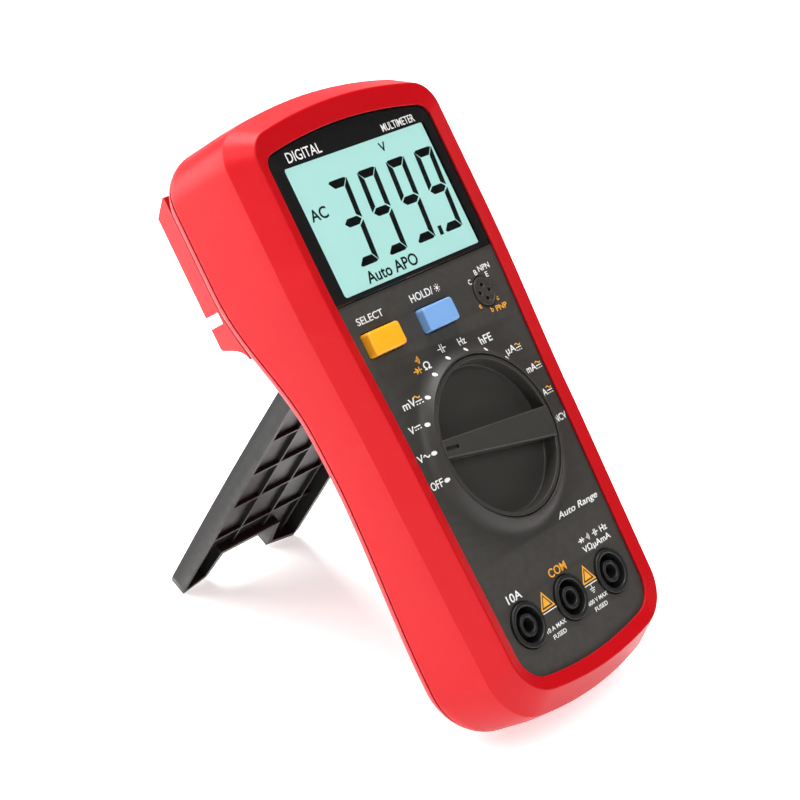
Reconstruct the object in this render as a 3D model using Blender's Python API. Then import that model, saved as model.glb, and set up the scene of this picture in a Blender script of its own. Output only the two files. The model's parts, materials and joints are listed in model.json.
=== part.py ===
# A hand-held digital multimeter, standing on its tilt stand, at its real size.
# The meter is modelled in its own frame: x to the right, y up the face and z out of the
# face, with the origin on the panel at the middle jack. One empty leans that frame back
# until the case's lower rear edge and the foot of the stand both rest on the floor.

import math

import bmesh
import bpy
import numpy as np
from mathutils import Matrix, Vector

MM = 0.001
GAP = 0.3 * MM  # clearance between pieces that meet

# The case outline, seen from the front
HEAD_FLARE = 2.4 * MM  # the head is wider than the waist by this on each side
DIAL_SIDE = 15 * MM  # from the dial collar's edge to the side of the waist
JACK_SIDE = 18.6 * MM  # from an outer jack's axis to the side of the waist
NECK_LOW = 45 * MM
NECK_HIGH = 105 * MM
SIDE_TAPER = 0.035
TOP_ROOM = 17.9 * MM  # from the battery's upper side to the top of the case
TOP_SAG = 5 * MM
TOP_RADIUS = 11 * MM
CASE_BOTTOM = -25.5 * MM
BOTTOM_SAG = 6 * MM
BOTTOM_RADIUS = 16 * MM
SMALLEST_RADIUS = 1 * MM

# The case in depth, from the panel back to the parting line
HEAD_DEPTH = 30 * MM
WAIST_DEPTH = 21.5 * MM
FOOT_DEPTH = 26.2 * MM
HEAD_STEP_LOW = 68 * MM
HEAD_STEP_HIGH = 112 * MM
FOOT_STEP_LOW = -8 * MM
FOOT_STEP_HIGH = 55 * MM
BACK_ROUND = 4.2 * MM  # the rear cover is as deep as its rounded edge
END_ROUND = 8 * MM

# The bezel: how far its edges lie inside the outline, at the sides and at the two ends
FACE_SIDE, FACE_TOP, FACE_BOTTOM = 3.2 * MM, 5 * MM, 6 * MM
OPENING_SIDE, OPENING_TOP, OPENING_BOTTOM = 7.1 * MM, 11.25 * MM, 10 * MM
LIP_HEIGHT = 0.9 * MM
FACE_HEIGHT = 1.9 * MM
CHAMFER_DEPTH = 7.2 * MM
BEZEL_WALL = 2.4 * MM
REAR_WALL = 2.2 * MM

# The front case inside the bezel
PLATE = 2.6 * MM
LIP_OVERLAP = 2 * MM
SKIRT_WALL = 1.8 * MM
SKIRT_GAP = 1 * MM

# Display
LENS_BOTTOM = 94.5 * MM
LENS_THICK = 1.15 * MM
LENS_PROUD = 0.1 * MM
WINDOW_HALF = 27.6 * MM
WINDOW_LOW = 96.06 * MM
WINDOW_HIGH = 132.25 * MM
GLASS_BORDER = 1.5 * MM
GLASS_THICK = 2 * MM
LIGHT_THICK = 2.6 * MM
FRAME_WALL = 1.7 * MM
ZEBRA_THICK = 2 * MM

# Rotary switch: the collar belongs to the front case, the knob turns inside it
DIAL_Y = 47 * MM
DIAL_STEP = 18.07  # degrees between two of the twelve positions
DIAL_REST = 171.4  # degrees from +x to the pointer
COLLAR_RADIUS = 22.6 * MM
COLLAR_HEIGHT = 2.6 * MM
COLLAR_SLOPE = 4.4 * MM
WELL_DEPTH = 4.7 * MM
WELL_WALL = 1.6 * MM
RIM_WALL = 1.2 * MM
KNOB_FLOOR = -1.9 * MM
BAR_TOP = 2.75 * MM
BAR_WIDE = 8.75 * MM
BAR_NARROW = 5 * MM
HUB_RADIUS = 8 * MM
HUB_END = -8 * MM
WIPER_RADIUS = 17 * MM
WIPER_THICK = 1.2 * MM
BALL_RADIUS = 0.7 * MM

# Push buttons
BUTTON_LOW = 79.1 * MM
BUTTON_HIGH = 85.75 * MM
BUTTON_WIDTH = 12.6 * MM
SELECT_X = -22.3 * MM
HOLD_X = 0 * MM
BUTTON_PROUD = 2.6 * MM
BUTTON_DRAFT = 0.15 * MM
BUTTON_ROUND = 0.6 * MM
BUTTON_FLANGE = 0.7 * MM
BUTTON_TRAVEL = 0.8 * MM
STEM = 3 * MM

# Test jacks for 4 mm safety plugs
JACK_PITCH = 19 * MM
JACK_RING = 6.2 * MM
JACK_SHROUD = 4.55 * MM
JACK_POST = 3.1 * MM
POST_TOP = 0.3 * MM
JACK_HOLE = 2 * MM
JACK_FLANGE = 7.6 * MM
JACK_DEPTH = 21 * MM
SHROUD_DEPTH = 15 * MM
CONTACT_WALL = 0.45 * MM
CONTACT_TOP = -6.5 * MM

# Transistor test socket
SOCKET_X = 22 * MM
SOCKET_Y = 83 * MM
SOCKET_RADIUS = 4.2 * MM
SOCKET_HOLE = 0.6 * MM
SOCKET_SPACING = 2 * MM

# Circuit board and what it carries
BOARD_TOP = -11 * MM
BOARD_THICK = 1.6 * MM
BOARD_LOW = 9.5 * MM
BOARD_INSET = 7.6 * MM
BOSS_RADIUS = 3 * MM
SCREW_RADIUS = 1 * MM
HEAD_RADIUS = 2.3 * MM
HEAD_HEIGHT = 1.4 * MM
UPPER_SCREW_Y = 72 * MM
UPPER_SCREW_INSET = 11.4 * MM
LOWER_SCREW_X = 9.5 * MM
LOWER_SCREW_Y = -9.5 * MM
BOARD_BOSS = 2.3 * MM
BOARD_SCREWS = ((27.5, 26), (11.4, 87.8))  # mm, each on both sides

# Battery: the usual 9 V block, lying across the head, with its snap connector
BATTERY = Vector((46.2, 26.5, 17.4)) * MM
STUD_RADIUS = 2.8 * MM
STUD_HEIGHT = 2.2 * MM
STUD_SPACING = 12.7 * MM
TUB_WALL = 1.2 * MM
SNAP_THICK = 4.5 * MM
DOOR_HALF = 25.4 * MM
DOOR_LOW = 99 * MM
DOOR_LAP = 2.2 * MM  # how far the door reaches past the battery's top side
DOOR_THICK = 1.1 * MM
DOOR_SCREW_Y = 102.2 * MM
DOOR_BOSS = 2.6 * MM
BATTERY_Y = DOOR_SCREW_Y + DOOR_BOSS + GAP + TUB_WALL + GAP + BATTERY.y / 2
DOOR_HIGH = BATTERY_Y + BATTERY.y / 2 + GAP + DOOR_LAP
DOOR_SEAT = 0.45 * MM
CASE_SEAT = 1.9 * MM

# Probe clips on the back of the head: an outer and an inner rail on each side
CLIP_DEPTH = 5.4 * MM
CLIP_OUTER = (35.4 * MM, 38.2 * MM)
CLIP_INNER = (26.3 * MM, 28.3 * MM)
CLIP_HOOK = 1 * MM
CLIP_LOW = 98 * MM
CLIP_HIGH = 137 * MM
CLIP_SLOT = (104.7 * MM, 108 * MM)

# Tilt stand, in the frame of its hinge: y runs from the foot to the hinge, -z is outside
HINGE_Y = 82.56 * MM
HINGE_DROP = 2.62 * MM  # the hinge axis lies this far behind the rear case
STAND_OPEN = 65.7  # degrees from folded flat to its stop
STAND_LENGTH = 95 * MM
STAND_HALF = 25.5 * MM
STAND_OUTER = 4 * MM
STAND_INNER = 1.5 * MM
STAND_CROWN = 0.5 * MM
STAND_WALL = 1.5 * MM
STAND_END = 2 * MM
NOTCH_TOP = 11.3 * MM
NOTCH_FOOT = 13.2 * MM
NOTCH_HEIGHT = 10.3 * MM
NOTCH_INNER = 0.2 * MM
FOOT_CHAMFER = 3 * MM
RIB_HEIGHT = 1.2 * MM
RIB_WIDTH = 0.8 * MM
RIB_PITCH = 15.2 * MM  # between two ribs across
RIB_COLUMN = 13.4 * MM  # between two ribs along
RIB_FREE = 6 * MM  # the ribs stop this far from the hinge lugs
PIN_RADIUS = 1.15 * MM
LUG = (17 * MM, 21 * MM)
LUG_RADIUS = 2.2 * MM

BOARD_BACK = BOARD_TOP - BOARD_THICK
BIG = 60 * MM  # reach of a cutter that runs out of the part
CASE_TOP = BATTERY_Y + BATTERY.y / 2 + TOP_ROOM
WAIST_HALF = max(COLLAR_RADIUS + DIAL_SIDE, JACK_PITCH + JACK_SIDE)
HEAD_HALF = WAIST_HALF + HEAD_FLARE


# ---- shape rules ---------------------------------------------------------------------

def smooth(t):
    t = min(max(t, 0.0), 1.0)
    return t * t * (3 - 2 * t)


def half_width(y):
    neck = smooth((y - NECK_LOW) / (NECK_HIGH - NECK_LOW))
    return WAIST_HALF + (HEAD_HALF - WAIST_HALF) * neck - SIDE_TAPER * max(0.0, NECK_LOW - y)


def parting(y):
    """Height of the line where the bezel meets the rear case."""
    head = smooth((y - HEAD_STEP_LOW) / (HEAD_STEP_HIGH - HEAD_STEP_LOW))
    foot = smooth((FOOT_STEP_HIGH - y) / (FOOT_STEP_HIGH - FOOT_STEP_LOW))
    return -(WAIST_DEPTH + (HEAD_DEPTH - WAIST_DEPTH) * head + (FOOT_DEPTH - WAIST_DEPTH) * foot)


def back(y):
    """Height of the rear case's outer face."""
    return parting(y) - BACK_ROUND


HINGE_Z = back(HINGE_Y) - HINGE_DROP


def ends(side):
    """How far the two ends are pulled in where the sides are pulled in by side."""
    beyond = max(0.0, side - OPENING_SIDE)
    sides = [0, FACE_SIDE, OPENING_SIDE]
    top = np.interp(side, sides, [0, FACE_TOP, OPENING_TOP]) + beyond
    bottom = np.interp(side, sides, [0, FACE_BOTTOM, OPENING_BOTTOM]) + beyond
    return float(top), float(bottom)


def fillet(edge, slope, way, radius, side):
    """Centre and tilt of the arc that joins an end edge to the side wall."""
    x = half_width(edge(0)) - side - radius
    for _ in range(6):
        tilt = math.atan(-way * slope(x))
        centre = Vector((x - radius * math.sin(tilt), edge(x) - way * radius * math.cos(tilt)))
        x += half_width(centre.y) - side - radius - centre.x
    return x, centre, tilt


def half_outline(side, top, bottom, counts=(3, 4, 10, 5, 3)):
    """Right half of the outline pulled in by these amounts, from top middle to bottom middle."""
    def top_edge(x):
        return CASE_TOP - top - TOP_SAG * (x / HEAD_HALF) ** 2

    def bottom_edge(x):
        return CASE_BOTTOM + bottom + BOTTOM_SAG * (x / WAIST_HALF) ** 2

    top_radius = max(TOP_RADIUS - side, SMALLEST_RADIUS)
    low_radius = max(BOTTOM_RADIUS - side, SMALLEST_RADIUS)
    x_top, c_top, tilt_top = fillet(
        top_edge, lambda x: -2 * TOP_SAG * x / HEAD_HALF**2, 1, top_radius, side)
    x_low, c_low, tilt_low = fillet(
        bottom_edge, lambda x: 2 * BOTTOM_SAG * x / WAIST_HALF**2, -1, low_radius, side)
    n_top, n_corner, n_side, n_low_corner, n_low = counts
    points = [(x_top * (k + 0.5) / n_top, top_edge(x_top * (k + 0.5) / n_top)) for k in range(n_top)]
    for k in range(n_corner + 1):
        angle = (math.pi / 2 - tilt_top) * (1 - k / n_corner)
        points.append((c_top.x + top_radius * math.cos(angle), c_top.y + top_radius * math.sin(angle)))
    for k in range(1, n_side + 1):
        y = c_top.y + (c_low.y - c_top.y) * k / (n_side + 1)
        points.append((half_width(y) - side, y))
    for k in range(n_low_corner + 1):
        angle = -(math.pi / 2 - tilt_low) * k / n_low_corner
        points.append((c_low.x + low_radius * math.cos(angle), c_low.y + low_radius * math.sin(angle)))
    for k in range(n_low):
        x = x_low * (n_low - k - 0.5) / n_low
        points.append((x, bottom_edge(x)))
    return points


def cut_below(points, y):
    """The part of a half outline above y, closed by a straight edge there."""
    kept = [p for p in points if p[1] > y + 0.5 * MM]
    return kept + [(kept[-1][0], y)]


def ring(points, height):
    """A half outline made whole; height is a number or a rule of y."""
    z = height if callable(height) else lambda y: height
    whole = points + [(-x, y) for x, y in reversed(points)]
    return [(x, y, z(y)) for x, y in whole]


def level(side, height, top=None, bottom=None):
    far_top, far_bottom = ends(side)
    return ring(half_outline(side, far_top if top is None else top,
                             far_bottom if bottom is None else bottom), height)


# ---- mesh tools ----------------------------------------------------------------------

def outward(bm):
    bmesh.ops.recalc_face_normals(bm, faces=bm.faces)
    if bm.calc_volume(signed=True) < 0:
        bmesh.ops.reverse_faces(bm, faces=bm.faces)
    return bm


def loft(rings, closed=False):
    """Skins rings of equal length. An open loft is capped by strips across the outline."""
    bm = bmesh.new()
    rows = [[bm.verts.new(point) for point in points] for points in rings]
    count = len(rows[0])
    follow = rows[1:] + rows[:1] if closed else rows[1:]
    for row, after in zip(rows, follow):
        for i in range(count):
            j = (i + 1) % count
            bm.faces.new((row[i], row[j], after[j], after[i]))
    if not closed:
        for row in (rows[0], rows[-1]):
            for i in range(count // 2 - 1):
                bm.faces.new((row[i], row[i + 1], row[count - 2 - i], row[count - 1 - i]))
    return outward(bm)


def lathe(profile, segments=16):
    """Turns (radius, z) points about z. Points at radius 0 end the profile; else it closes."""
    bm = bmesh.new()
    turns = [2 * math.pi * k / segments for k in range(segments)]
    rows = [
        [bm.verts.new((r * math.cos(a), r * math.sin(a), z)) for a in (turns if r else turns[:1])]
        for r, z in profile
    ]
    closed = all(r for r, _ in profile)
    for row, after in zip(rows, rows[1:] + rows[:1] if closed else rows[1:]):
        for k in range(segments):
            m = (k + 1) % segments
            corners = (row[k % len(row)], row[m % len(row)], after[m % len(after)], after[k % len(after)])
            face = list(dict.fromkeys(corners))
            if len(face) > 2:
                bm.faces.new(face)
    return outward(bm)


def cylinder(radius, low, high, segments=16):
    return lathe([(0, low), (radius, low), (radius, high), (0, high)], segments)


def prism(points, low, high, axis="z"):
    """A polygon pushed along an axis: points are (x, y), (y, z) or (x, z)."""
    place = {
        "z": lambda a, b, c: (a, b, c),
        "x": lambda a, b, c: (c, a, b),
        "y": lambda a, b, c: (a, c, b),
    }[axis]
    bm = bmesh.new()
    first = [bm.verts.new(place(a, b, low)) for a, b in points]
    last = [bm.verts.new(place(a, b, high)) for a, b in points]
    bm.faces.new(first)
    bm.faces.new(reversed(last))
    for i in range(len(points)):
        j = (i + 1) % len(points)
        bm.faces.new((first[i], last[i], last[j], first[j]))
    return outward(bm)


def box(x, y, z):
    """A block between two values on each axis."""
    return prism([(x[0], y[0]), (x[1], y[0]), (x[1], y[1]), (x[0], y[1])], z[0], z[1])


def block(centre, size):
    return box(*[(c - s / 2, c + s / 2) for c, s in zip(centre, size)])


def moved(bm, x=0.0, y=0.0, z=0.0, turn=None):
    """Shifts a mesh; turn is (degrees, axis), applied first."""
    if turn:
        bmesh.ops.rotate(bm, verts=bm.verts, matrix=Matrix.Rotation(math.radians(turn[0]), 3, turn[1]))
    bmesh.ops.translate(bm, verts=bm.verts, vec=(x, y, z))
    return bm


# ---- objects -------------------------------------------------------------------------

def paint(name, colour, roughness, metallic=0.0):
    material = bpy.data.materials.new(name)
    material.use_nodes = True
    shader = material.node_tree.nodes["Principled BSDF"]
    shader.inputs["Base Color"].default_value = (*colour, 1.0)
    shader.inputs["Roughness"].default_value = roughness
    shader.inputs["Metallic"].default_value = metallic
    return material


def empty(name, parent=None, at=(0, 0, 0), turn=(0, 0, 0)):
    obj = bpy.data.objects.new(name, None)
    obj.parent = parent
    obj.location = at
    obj.rotation_euler = turn
    bpy.context.collection.objects.link(obj)
    return obj


def solid(name, bm, look, parent, at=(0, 0, 0), bevel=0.0, segments=2):
    """Makes a node of the mesh, whose own origin goes to the place given."""
    mesh = bpy.data.meshes.new(name)
    bm.to_mesh(mesh)
    bm.free()
    mesh.shade_smooth()
    mesh.set_sharp_from_angle(angle=math.radians(35))
    mesh.materials.append(look)
    obj = bpy.data.objects.new(name, mesh)
    obj.parent = parent
    obj.location = at
    bpy.context.collection.objects.link(obj)
    if bevel:
        modifier = obj.modifiers.new("edges", "BEVEL")
        modifier.width = bevel
        modifier.segments = segments
        modifier.limit_method = "ANGLE"
        modifier.angle_limit = math.radians(40)
    return obj


def change(target, operation, pieces, crossing=False):
    """Adds or cuts separate closed pieces, given in the target's own frame."""
    joined = bmesh.new()
    for piece in pieces:
        mesh = bpy.data.meshes.new("piece")
        piece.to_mesh(mesh)
        piece.free()
        joined.from_mesh(mesh)
        bpy.data.meshes.remove(mesh)
    mesh = bpy.data.meshes.new(f"{target.name}_{operation.lower()}")
    joined.to_mesh(mesh)
    joined.free()
    helper = bpy.data.objects.new(mesh.name, mesh)
    helper.parent = target.parent
    helper.location = target.location
    helper.hide_render = True
    helper.display_type = "WIRE"
    bpy.context.collection.objects.link(helper)
    modifier = target.modifiers.new(operation.lower(), "BOOLEAN")
    modifier.operation = operation
    modifier.solver = "EXACT"
    modifier.use_self = crossing
    modifier.object = helper
    return target


def tube(name, points, radius, look, parent):
    """A bent wire or lead through the points."""
    curve = bpy.data.curves.new(name, "CURVE")
    curve.dimensions = "3D"
    curve.bevel_depth = radius
    curve.bevel_resolution = 1
    curve.use_fill_caps = True
    curve.resolution_u = 2
    spline = curve.splines.new("BEZIER")
    spline.bezier_points.add(len(points) - 1)
    for point, place in zip(spline.bezier_points, points):
        point.co = place
        point.handle_left_type = point.handle_right_type = "AUTO"
    curve.materials.append(look)
    obj = bpy.data.objects.new(name, curve)
    obj.parent = parent
    bpy.context.collection.objects.link(obj)
    return obj


# ---- casings -------------------------------------------------------------------------

def case_screws():
    upper = half_width(UPPER_SCREW_Y) - UPPER_SCREW_INSET
    return [(side * x, y) for x, y in ((upper, UPPER_SCREW_Y), (LOWER_SCREW_X, LOWER_SCREW_Y))
            for side in (-1, 1)]


def board_screws():
    return [(side * x * MM, y * MM) for x, y in BOARD_SCREWS for side in (-1, 1)]


def make_bezel(parent, look):
    """Soft red frame: lip, face, chamfer and side wall, one closed section round the case."""
    inner = OPENING_SIDE - LIP_OVERLAP - GAP
    start = BACK_ROUND - END_ROUND
    rings = [
        level(OPENING_SIDE, GAP),
        level(OPENING_SIDE, LIP_HEIGHT - 0.4 * MM),
        level(OPENING_SIDE - 0.4 * MM, LIP_HEIGHT),
        level(FACE_SIDE + 0.6 * MM, FACE_HEIGHT),
        level(FACE_SIDE, FACE_HEIGHT - 0.2 * MM),
        level(0.35 * MM, 1.3 * MM - CHAMFER_DEPTH),
        level(0, -CHAMFER_DEPTH),
    ]
    for share in (1.0, 0.5, 0.0):
        depth = start * share
        rings.append(level(0, lambda y, d=depth: parting(y) - d, *[end_round(depth)] * 2))
    end = end_round(0)
    top, bottom = ends(BEZEL_WALL)
    rings += [
        level(BEZEL_WALL, parting, top + end, bottom + end),
        level(BEZEL_WALL, GAP - CHAMFER_DEPTH, top, bottom),
        level(inner, -PLATE - GAP),
        level(inner, GAP),
    ]
    return solid("bezel_overmould", loft(rings, closed=True), look, parent)


def end_round(depth):
    """How far the ends are drawn in at this depth below the parting line."""
    rise = END_ROUND - BACK_ROUND + depth
    return END_ROUND - math.sqrt(max(0.0, END_ROUND**2 - max(0.0, rise) ** 2))


def dial_collar():
    """Sloped collar and the well that the knob turns in, with its bearing hole."""
    outer = COLLAR_RADIUS + COLLAR_SLOPE
    wall = COLLAR_RADIUS + WELL_WALL
    bearing = HUB_RADIUS + GAP
    return moved(lathe([
        (outer + 0.4 * MM, -0.25 * MM),
        (COLLAR_RADIUS + 0.9 * MM, COLLAR_HEIGHT - 0.15 * MM),
        (COLLAR_RADIUS + 0.5 * MM, COLLAR_HEIGHT),
        (COLLAR_RADIUS, COLLAR_HEIGHT - 0.4 * MM),
        (COLLAR_RADIUS, -WELL_DEPTH),
        (bearing, -WELL_DEPTH),
        (bearing, -WELL_DEPTH - WELL_WALL),
        (wall, -WELL_DEPTH - WELL_WALL),
        (wall, -1.5 * MM),
        (outer + 0.4 * MM, -1.5 * MM),
    ], 40), y=DIAL_Y)


def make_front_case(parent, look):
    edge = OPENING_SIDE - LIP_OVERLAP
    inside = edge + SKIRT_WALL

    def skirt(y):
        return parting(y) + SKIRT_GAP

    rings = [level(edge, 0), level(edge, skirt), level(inside, skirt), level(inside, -PLATE)]
    case = solid("front_case", loft(rings), look, parent)
    recess = cut_below(half_outline(OPENING_SIDE - GAP, *ends(OPENING_SIDE - GAP)), LENS_BOTTOM - GAP)
    floor = LENS_PROUD - LENS_THICK - GAP
    cuts = [
        loft([ring(recess, floor), ring(recess, 1 * MM)]),
        moved(cylinder(COLLAR_RADIUS + WELL_WALL / 2, -BIG, BIG, 40), y=DIAL_Y),
        moved(cylinder(SOCKET_RADIUS + GAP, -PLATE * 2, BIG, 20), SOCKET_X, SOCKET_Y),
    ]
    middle = (BUTTON_LOW + BUTTON_HIGH) / 2
    hole = (BUTTON_WIDTH + 2 * GAP, BUTTON_HIGH - BUTTON_LOW + 2 * GAP, PLATE * 4)
    cuts += [block((x, middle, 0), hole) for x in (SELECT_X, HOLD_X)]
    cuts += [moved(cylinder(JACK_RING + GAP, -PLATE * 2, BIG, 20), x) for x in jack_places()]
    change(case, "DIFFERENCE", cuts)
    lip = 0.5 * MM
    change(case, "DIFFERENCE", [box((-WINDOW_HALF - lip, WINDOW_HALF + lip),
                                    (WINDOW_LOW - lip, WINDOW_HIGH + lip), (-PLATE * 2, BIG))])
    bosses = [moved(cylinder(BOSS_RADIUS, BOARD_BACK - 0.8 * MM, -PLATE / 2, 12), x, y)
              for x, y in case_screws()]
    bosses += [moved(cylinder(BOARD_BOSS, BOARD_TOP + GAP, -PLATE / 2, 12), x, y)
               for x, y in board_screws()]
    change(case, "UNION", [dial_collar()] + bosses)
    pilots = [(x, y, -14 * MM, SCREW_RADIUS + GAP) for x, y in case_screws()]
    pilots += [(x, y, BOARD_TOP, SCREW_RADIUS * 0.8 + GAP) for x, y in board_screws()]
    change(case, "DIFFERENCE", [moved(cylinder(r, low - 2 * MM, -PLATE - 1 * MM, 10), x, y)
                                for x, y, low, r in pilots])
    return case


def clip_rails():
    """Hooked rails that a test probe snaps between, each on a wedge that follows the case."""
    low = CLIP_LOW - 5 * MM
    high = CLIP_HIGH + 4.2 * MM
    root = 0.4 * MM
    base = back(CLIP_HIGH) + root
    top = back(CLIP_HIGH) - CLIP_DEPTH
    count = 8
    stations = [low + (high - low) * k / count for k in range(count + 1)]
    wedge = [(y, back(y) + root) for y in stations] + [(high, base - 2 * root), (low, base - 2 * root)]
    rails = []
    for side in (-1, 1):
        for (near, far), hook in ((CLIP_OUTER, -1), (CLIP_INNER, 1)):
            plain, hooked = (far, near) if hook < 0 else (near, far)
            section = [
                (plain, base), (plain, top + 0.4 * MM), (plain + 0.4 * MM * hook, top),
                (hooked + hook * CLIP_HOOK, top), (hooked + hook * CLIP_HOOK, top + 0.8 * MM),
                (hooked, top + 1.8 * MM), (hooked, base),
            ]
            rails.append(prism([(side * x, z) for x, z in section], low, high, "y"))
            rails.append(prism(wedge, side * near, side * far, "x"))
    return rails


def clip_cuts():
    """Trims the rails: slanted top, curved lower end and the cross slot."""
    skin = back(CLIP_HIGH) - 0.05 * MM
    top = back(CLIP_HIGH) - CLIP_DEPTH
    out = top - 2 * MM
    slant = [(CLIP_HIGH, out), (CLIP_HIGH, top), (CLIP_HIGH + 4.3 * MM, skin),
             (CLIP_HIGH + 9 * MM, skin), (CLIP_HIGH + 9 * MM, out)]
    slot = [(CLIP_SLOT[0], out), (CLIP_SLOT[1], out), (CLIP_SLOT[1], skin), (CLIP_SLOT[0], skin)]
    reach = 5.2 * MM
    steps = 6
    curve = [(CLIP_LOW + 1.6 * MM, top - 0.1 * MM), (CLIP_LOW + 0.5 * MM, top + 0.5 * MM),
             (CLIP_LOW, top + 1.6 * MM)]
    for k in range(1, steps + 1):
        y = CLIP_LOW - reach * k / steps
        rise = (1 - k / steps) ** 3
        curve.append((y, back(y) - 0.05 * MM + (top + 1.6 * MM - back(y)) * rise))
    curve += [(CLIP_LOW - reach, out), (CLIP_LOW + 1.6 * MM, out)]
    return [prism(points, -BIG, BIG, "x") for points in (slant, slot, curve)]


def tub_section():
    """The battery tub in x: its ends, and the mouth that the battery goes in through."""
    half = (BATTERY.x + STUD_HEIGHT + GAP) / 2
    return -half - GAP, half + GAP, half + GAP + SNAP_THICK + 0.6 * MM


def make_rear_case(parent, look):
    """Deep cover with a rounded edge, the battery tub, probe clips, screw bosses and lugs."""
    top_in, bottom_in = ends(BEZEL_WALL)
    rings = []
    steps = 5
    for k in range(steps + 1):
        depth = GAP + (BACK_ROUND - GAP) * math.sin(math.pi / 2 * k / steps)
        side = BACK_ROUND - math.sqrt(max(0.0, BACK_ROUND**2 - depth**2))
        rings.append(level(side, lambda y, d=depth: parting(y) - d, *[end_round(depth)] * 2))
    inner = []
    for side, depth in ((0, GAP), (0.6 * MM, 0.9 * MM), (BACK_ROUND - 1 * MM, BACK_ROUND - REAR_WALL)):
        end = end_round(depth)
        inner.append(level(REAR_WALL + side, lambda y, d=depth: parting(y) - d,
                           top_in + end + side, bottom_in + end + side))
    case = solid("rear_case", loft(rings[::-1] + inner), look, parent)

    left, mouth, right = tub_section()
    low, high = (BATTERY_Y - BATTERY.y / 2 - GAP, BATTERY_Y + BATTERY.y / 2 + GAP)
    roof = BOARD_BACK - 0.35 * MM
    wall = TUB_WALL
    adds = [box((left - wall, right + wall), (low - wall, high + wall),
                (back(DOOR_HIGH) + 1.2 * MM, roof))]
    for x, y in case_screws():
        adds.append(moved(cylinder(BOSS_RADIUS, back(y) + REAR_WALL / 2, BOARD_BACK - 0.8 * MM - GAP, 12), x, y))
    adds.append(moved(cylinder(DOOR_BOSS, back(DOOR_SCREW_Y) + 1.4 * MM,
                               back(DOOR_SCREW_Y) + 9 * MM, 12), 0, DOOR_SCREW_Y))
    lug = [(math.cos(math.pi * k / 8) * -LUG_RADIUS, -math.sin(math.pi * k / 8) * LUG_RADIUS)
           for k in range(9)]
    lug = [(HINGE_Y + y, HINGE_Z + z) for y, z in lug]
    lug += [(HINGE_Y + LUG_RADIUS, back(HINGE_Y) + 1.2 * MM), (HINGE_Y - LUG_RADIUS, back(HINGE_Y) + 1.2 * MM)]
    adds += [prism(lug, side * LUG[0], side * LUG[1], "x") for side in (-1, 1)]
    change(case, "UNION", adds)
    change(case, "UNION", clip_rails(), crossing=True)

    change(case, "DIFFERENCE", [prism(
        [(left, -BIG), (mouth, -BIG), (mouth, back(DOOR_HIGH) + REAR_WALL),
         (right, back(DOOR_HIGH) + REAR_WALL), (right, roof - 1 * MM), (left, roof - 1 * MM)],
        low, high, "y")] + clip_cuts())
    ledge = [(y, back(y) + DOOR_THICK + GAP) for y in door_stations(GAP)]
    rebate = prism(ledge + [(ledge[-1][0], -BIG), (ledge[0][0], -BIG)], -DOOR_HALF - GAP, DOOR_HALF + GAP, "x")
    cuts = [rebate]
    for x, y in case_screws():
        cuts.append(screw_seat(x, y, back(y) + CASE_SEAT))
    for y in lead_places():
        cuts.append(moved(cylinder(1.2 * MM, -4 * MM, 4 * MM, 10), right + wall / 2, y, -20 * MM, (90, "Y")))
    cuts.append(moved(cylinder(PIN_RADIUS + GAP, -STAND_HALF, STAND_HALF, 12), 0, HINGE_Y, HINGE_Z, (90, "Y")))
    change(case, "DIFFERENCE", cuts)

    reach = STAND_HALF + 0.9 * MM
    foot = HINGE_Y - STAND_LENGTH - 2 * MM
    floor = HINGE_Z + STAND_INNER + 0.5 * MM
    near = 0.6 * MM
    hollow = [(foot, floor), (HINGE_Y - 6 * MM, floor), (HINGE_Y - 5 * MM, back(HINGE_Y) + near / 2),
              (HINGE_Y + 5.5 * MM, back(HINGE_Y) + near / 2), (HINGE_Y + 5.5 * MM, -BIG), (foot, -BIG)]
    cleared = [(-reach, -LUG[1]), (-LUG[0], LUG[0]), (LUG[1], reach)]
    change(case, "DIFFERENCE", [prism(hollow, a, b, "x") for a, b in cleared])
    below_lugs = HINGE_Y - 2 * LUG_RADIUS
    rest = [(foot, floor), (below_lugs, floor), (below_lugs, -BIG), (foot, -BIG)]
    change(case, "DIFFERENCE", [prism(rest, -reach, reach, "x")])
    screw_hole = moved(cylinder(SCREW_RADIUS + GAP, -BIG, back(DOOR_SCREW_Y) + 8 * MM, 10), 0, DOOR_SCREW_Y)
    change(case, "DIFFERENCE", [screw_hole])
    return case


def door_stations(margin=0.0):
    count = 8
    low, high = DOOR_LOW - margin, DOOR_HIGH + margin
    return [low + (high - low) * k / count for k in range(count + 1)]


def make_battery_door(parent, look):
    stations = door_stations()
    outline = [(y, back(y)) for y in stations] + [(y, back(y) + DOOR_THICK) for y in reversed(stations)]
    door = solid("battery_door", prism(outline, -DOOR_HALF, DOOR_HALF, "x"), look, parent)
    change(door, "DIFFERENCE", [screw_seat(0, DOOR_SCREW_Y, back(DOOR_SCREW_Y) + DOOR_SEAT)])
    return door


def make_case_screws(parent, steel):
    for number, (x, y) in enumerate(case_screws(), 1):
        seat = back(y) + CASE_SEAT - GAP
        length = -6 * MM - seat
        screw(f"case_screw_{number}", (x, y, seat), length, SCREW_RADIUS, HEAD_RADIUS, parent, steel)
    seat = back(DOOR_SCREW_Y) + DOOR_SEAT - GAP
    screw("door_screw", (0, DOOR_SCREW_Y, seat), 7 * MM, SCREW_RADIUS, HEAD_RADIUS * 0.9, parent, steel)
    for number, (x, y) in enumerate(board_screws(), 1):
        screw(f"board_screw_{number}", (x, y, BOARD_BACK - GAP), 6 * MM,
              SCREW_RADIUS * 0.8, HEAD_RADIUS * 0.8, parent, steel)


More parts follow.
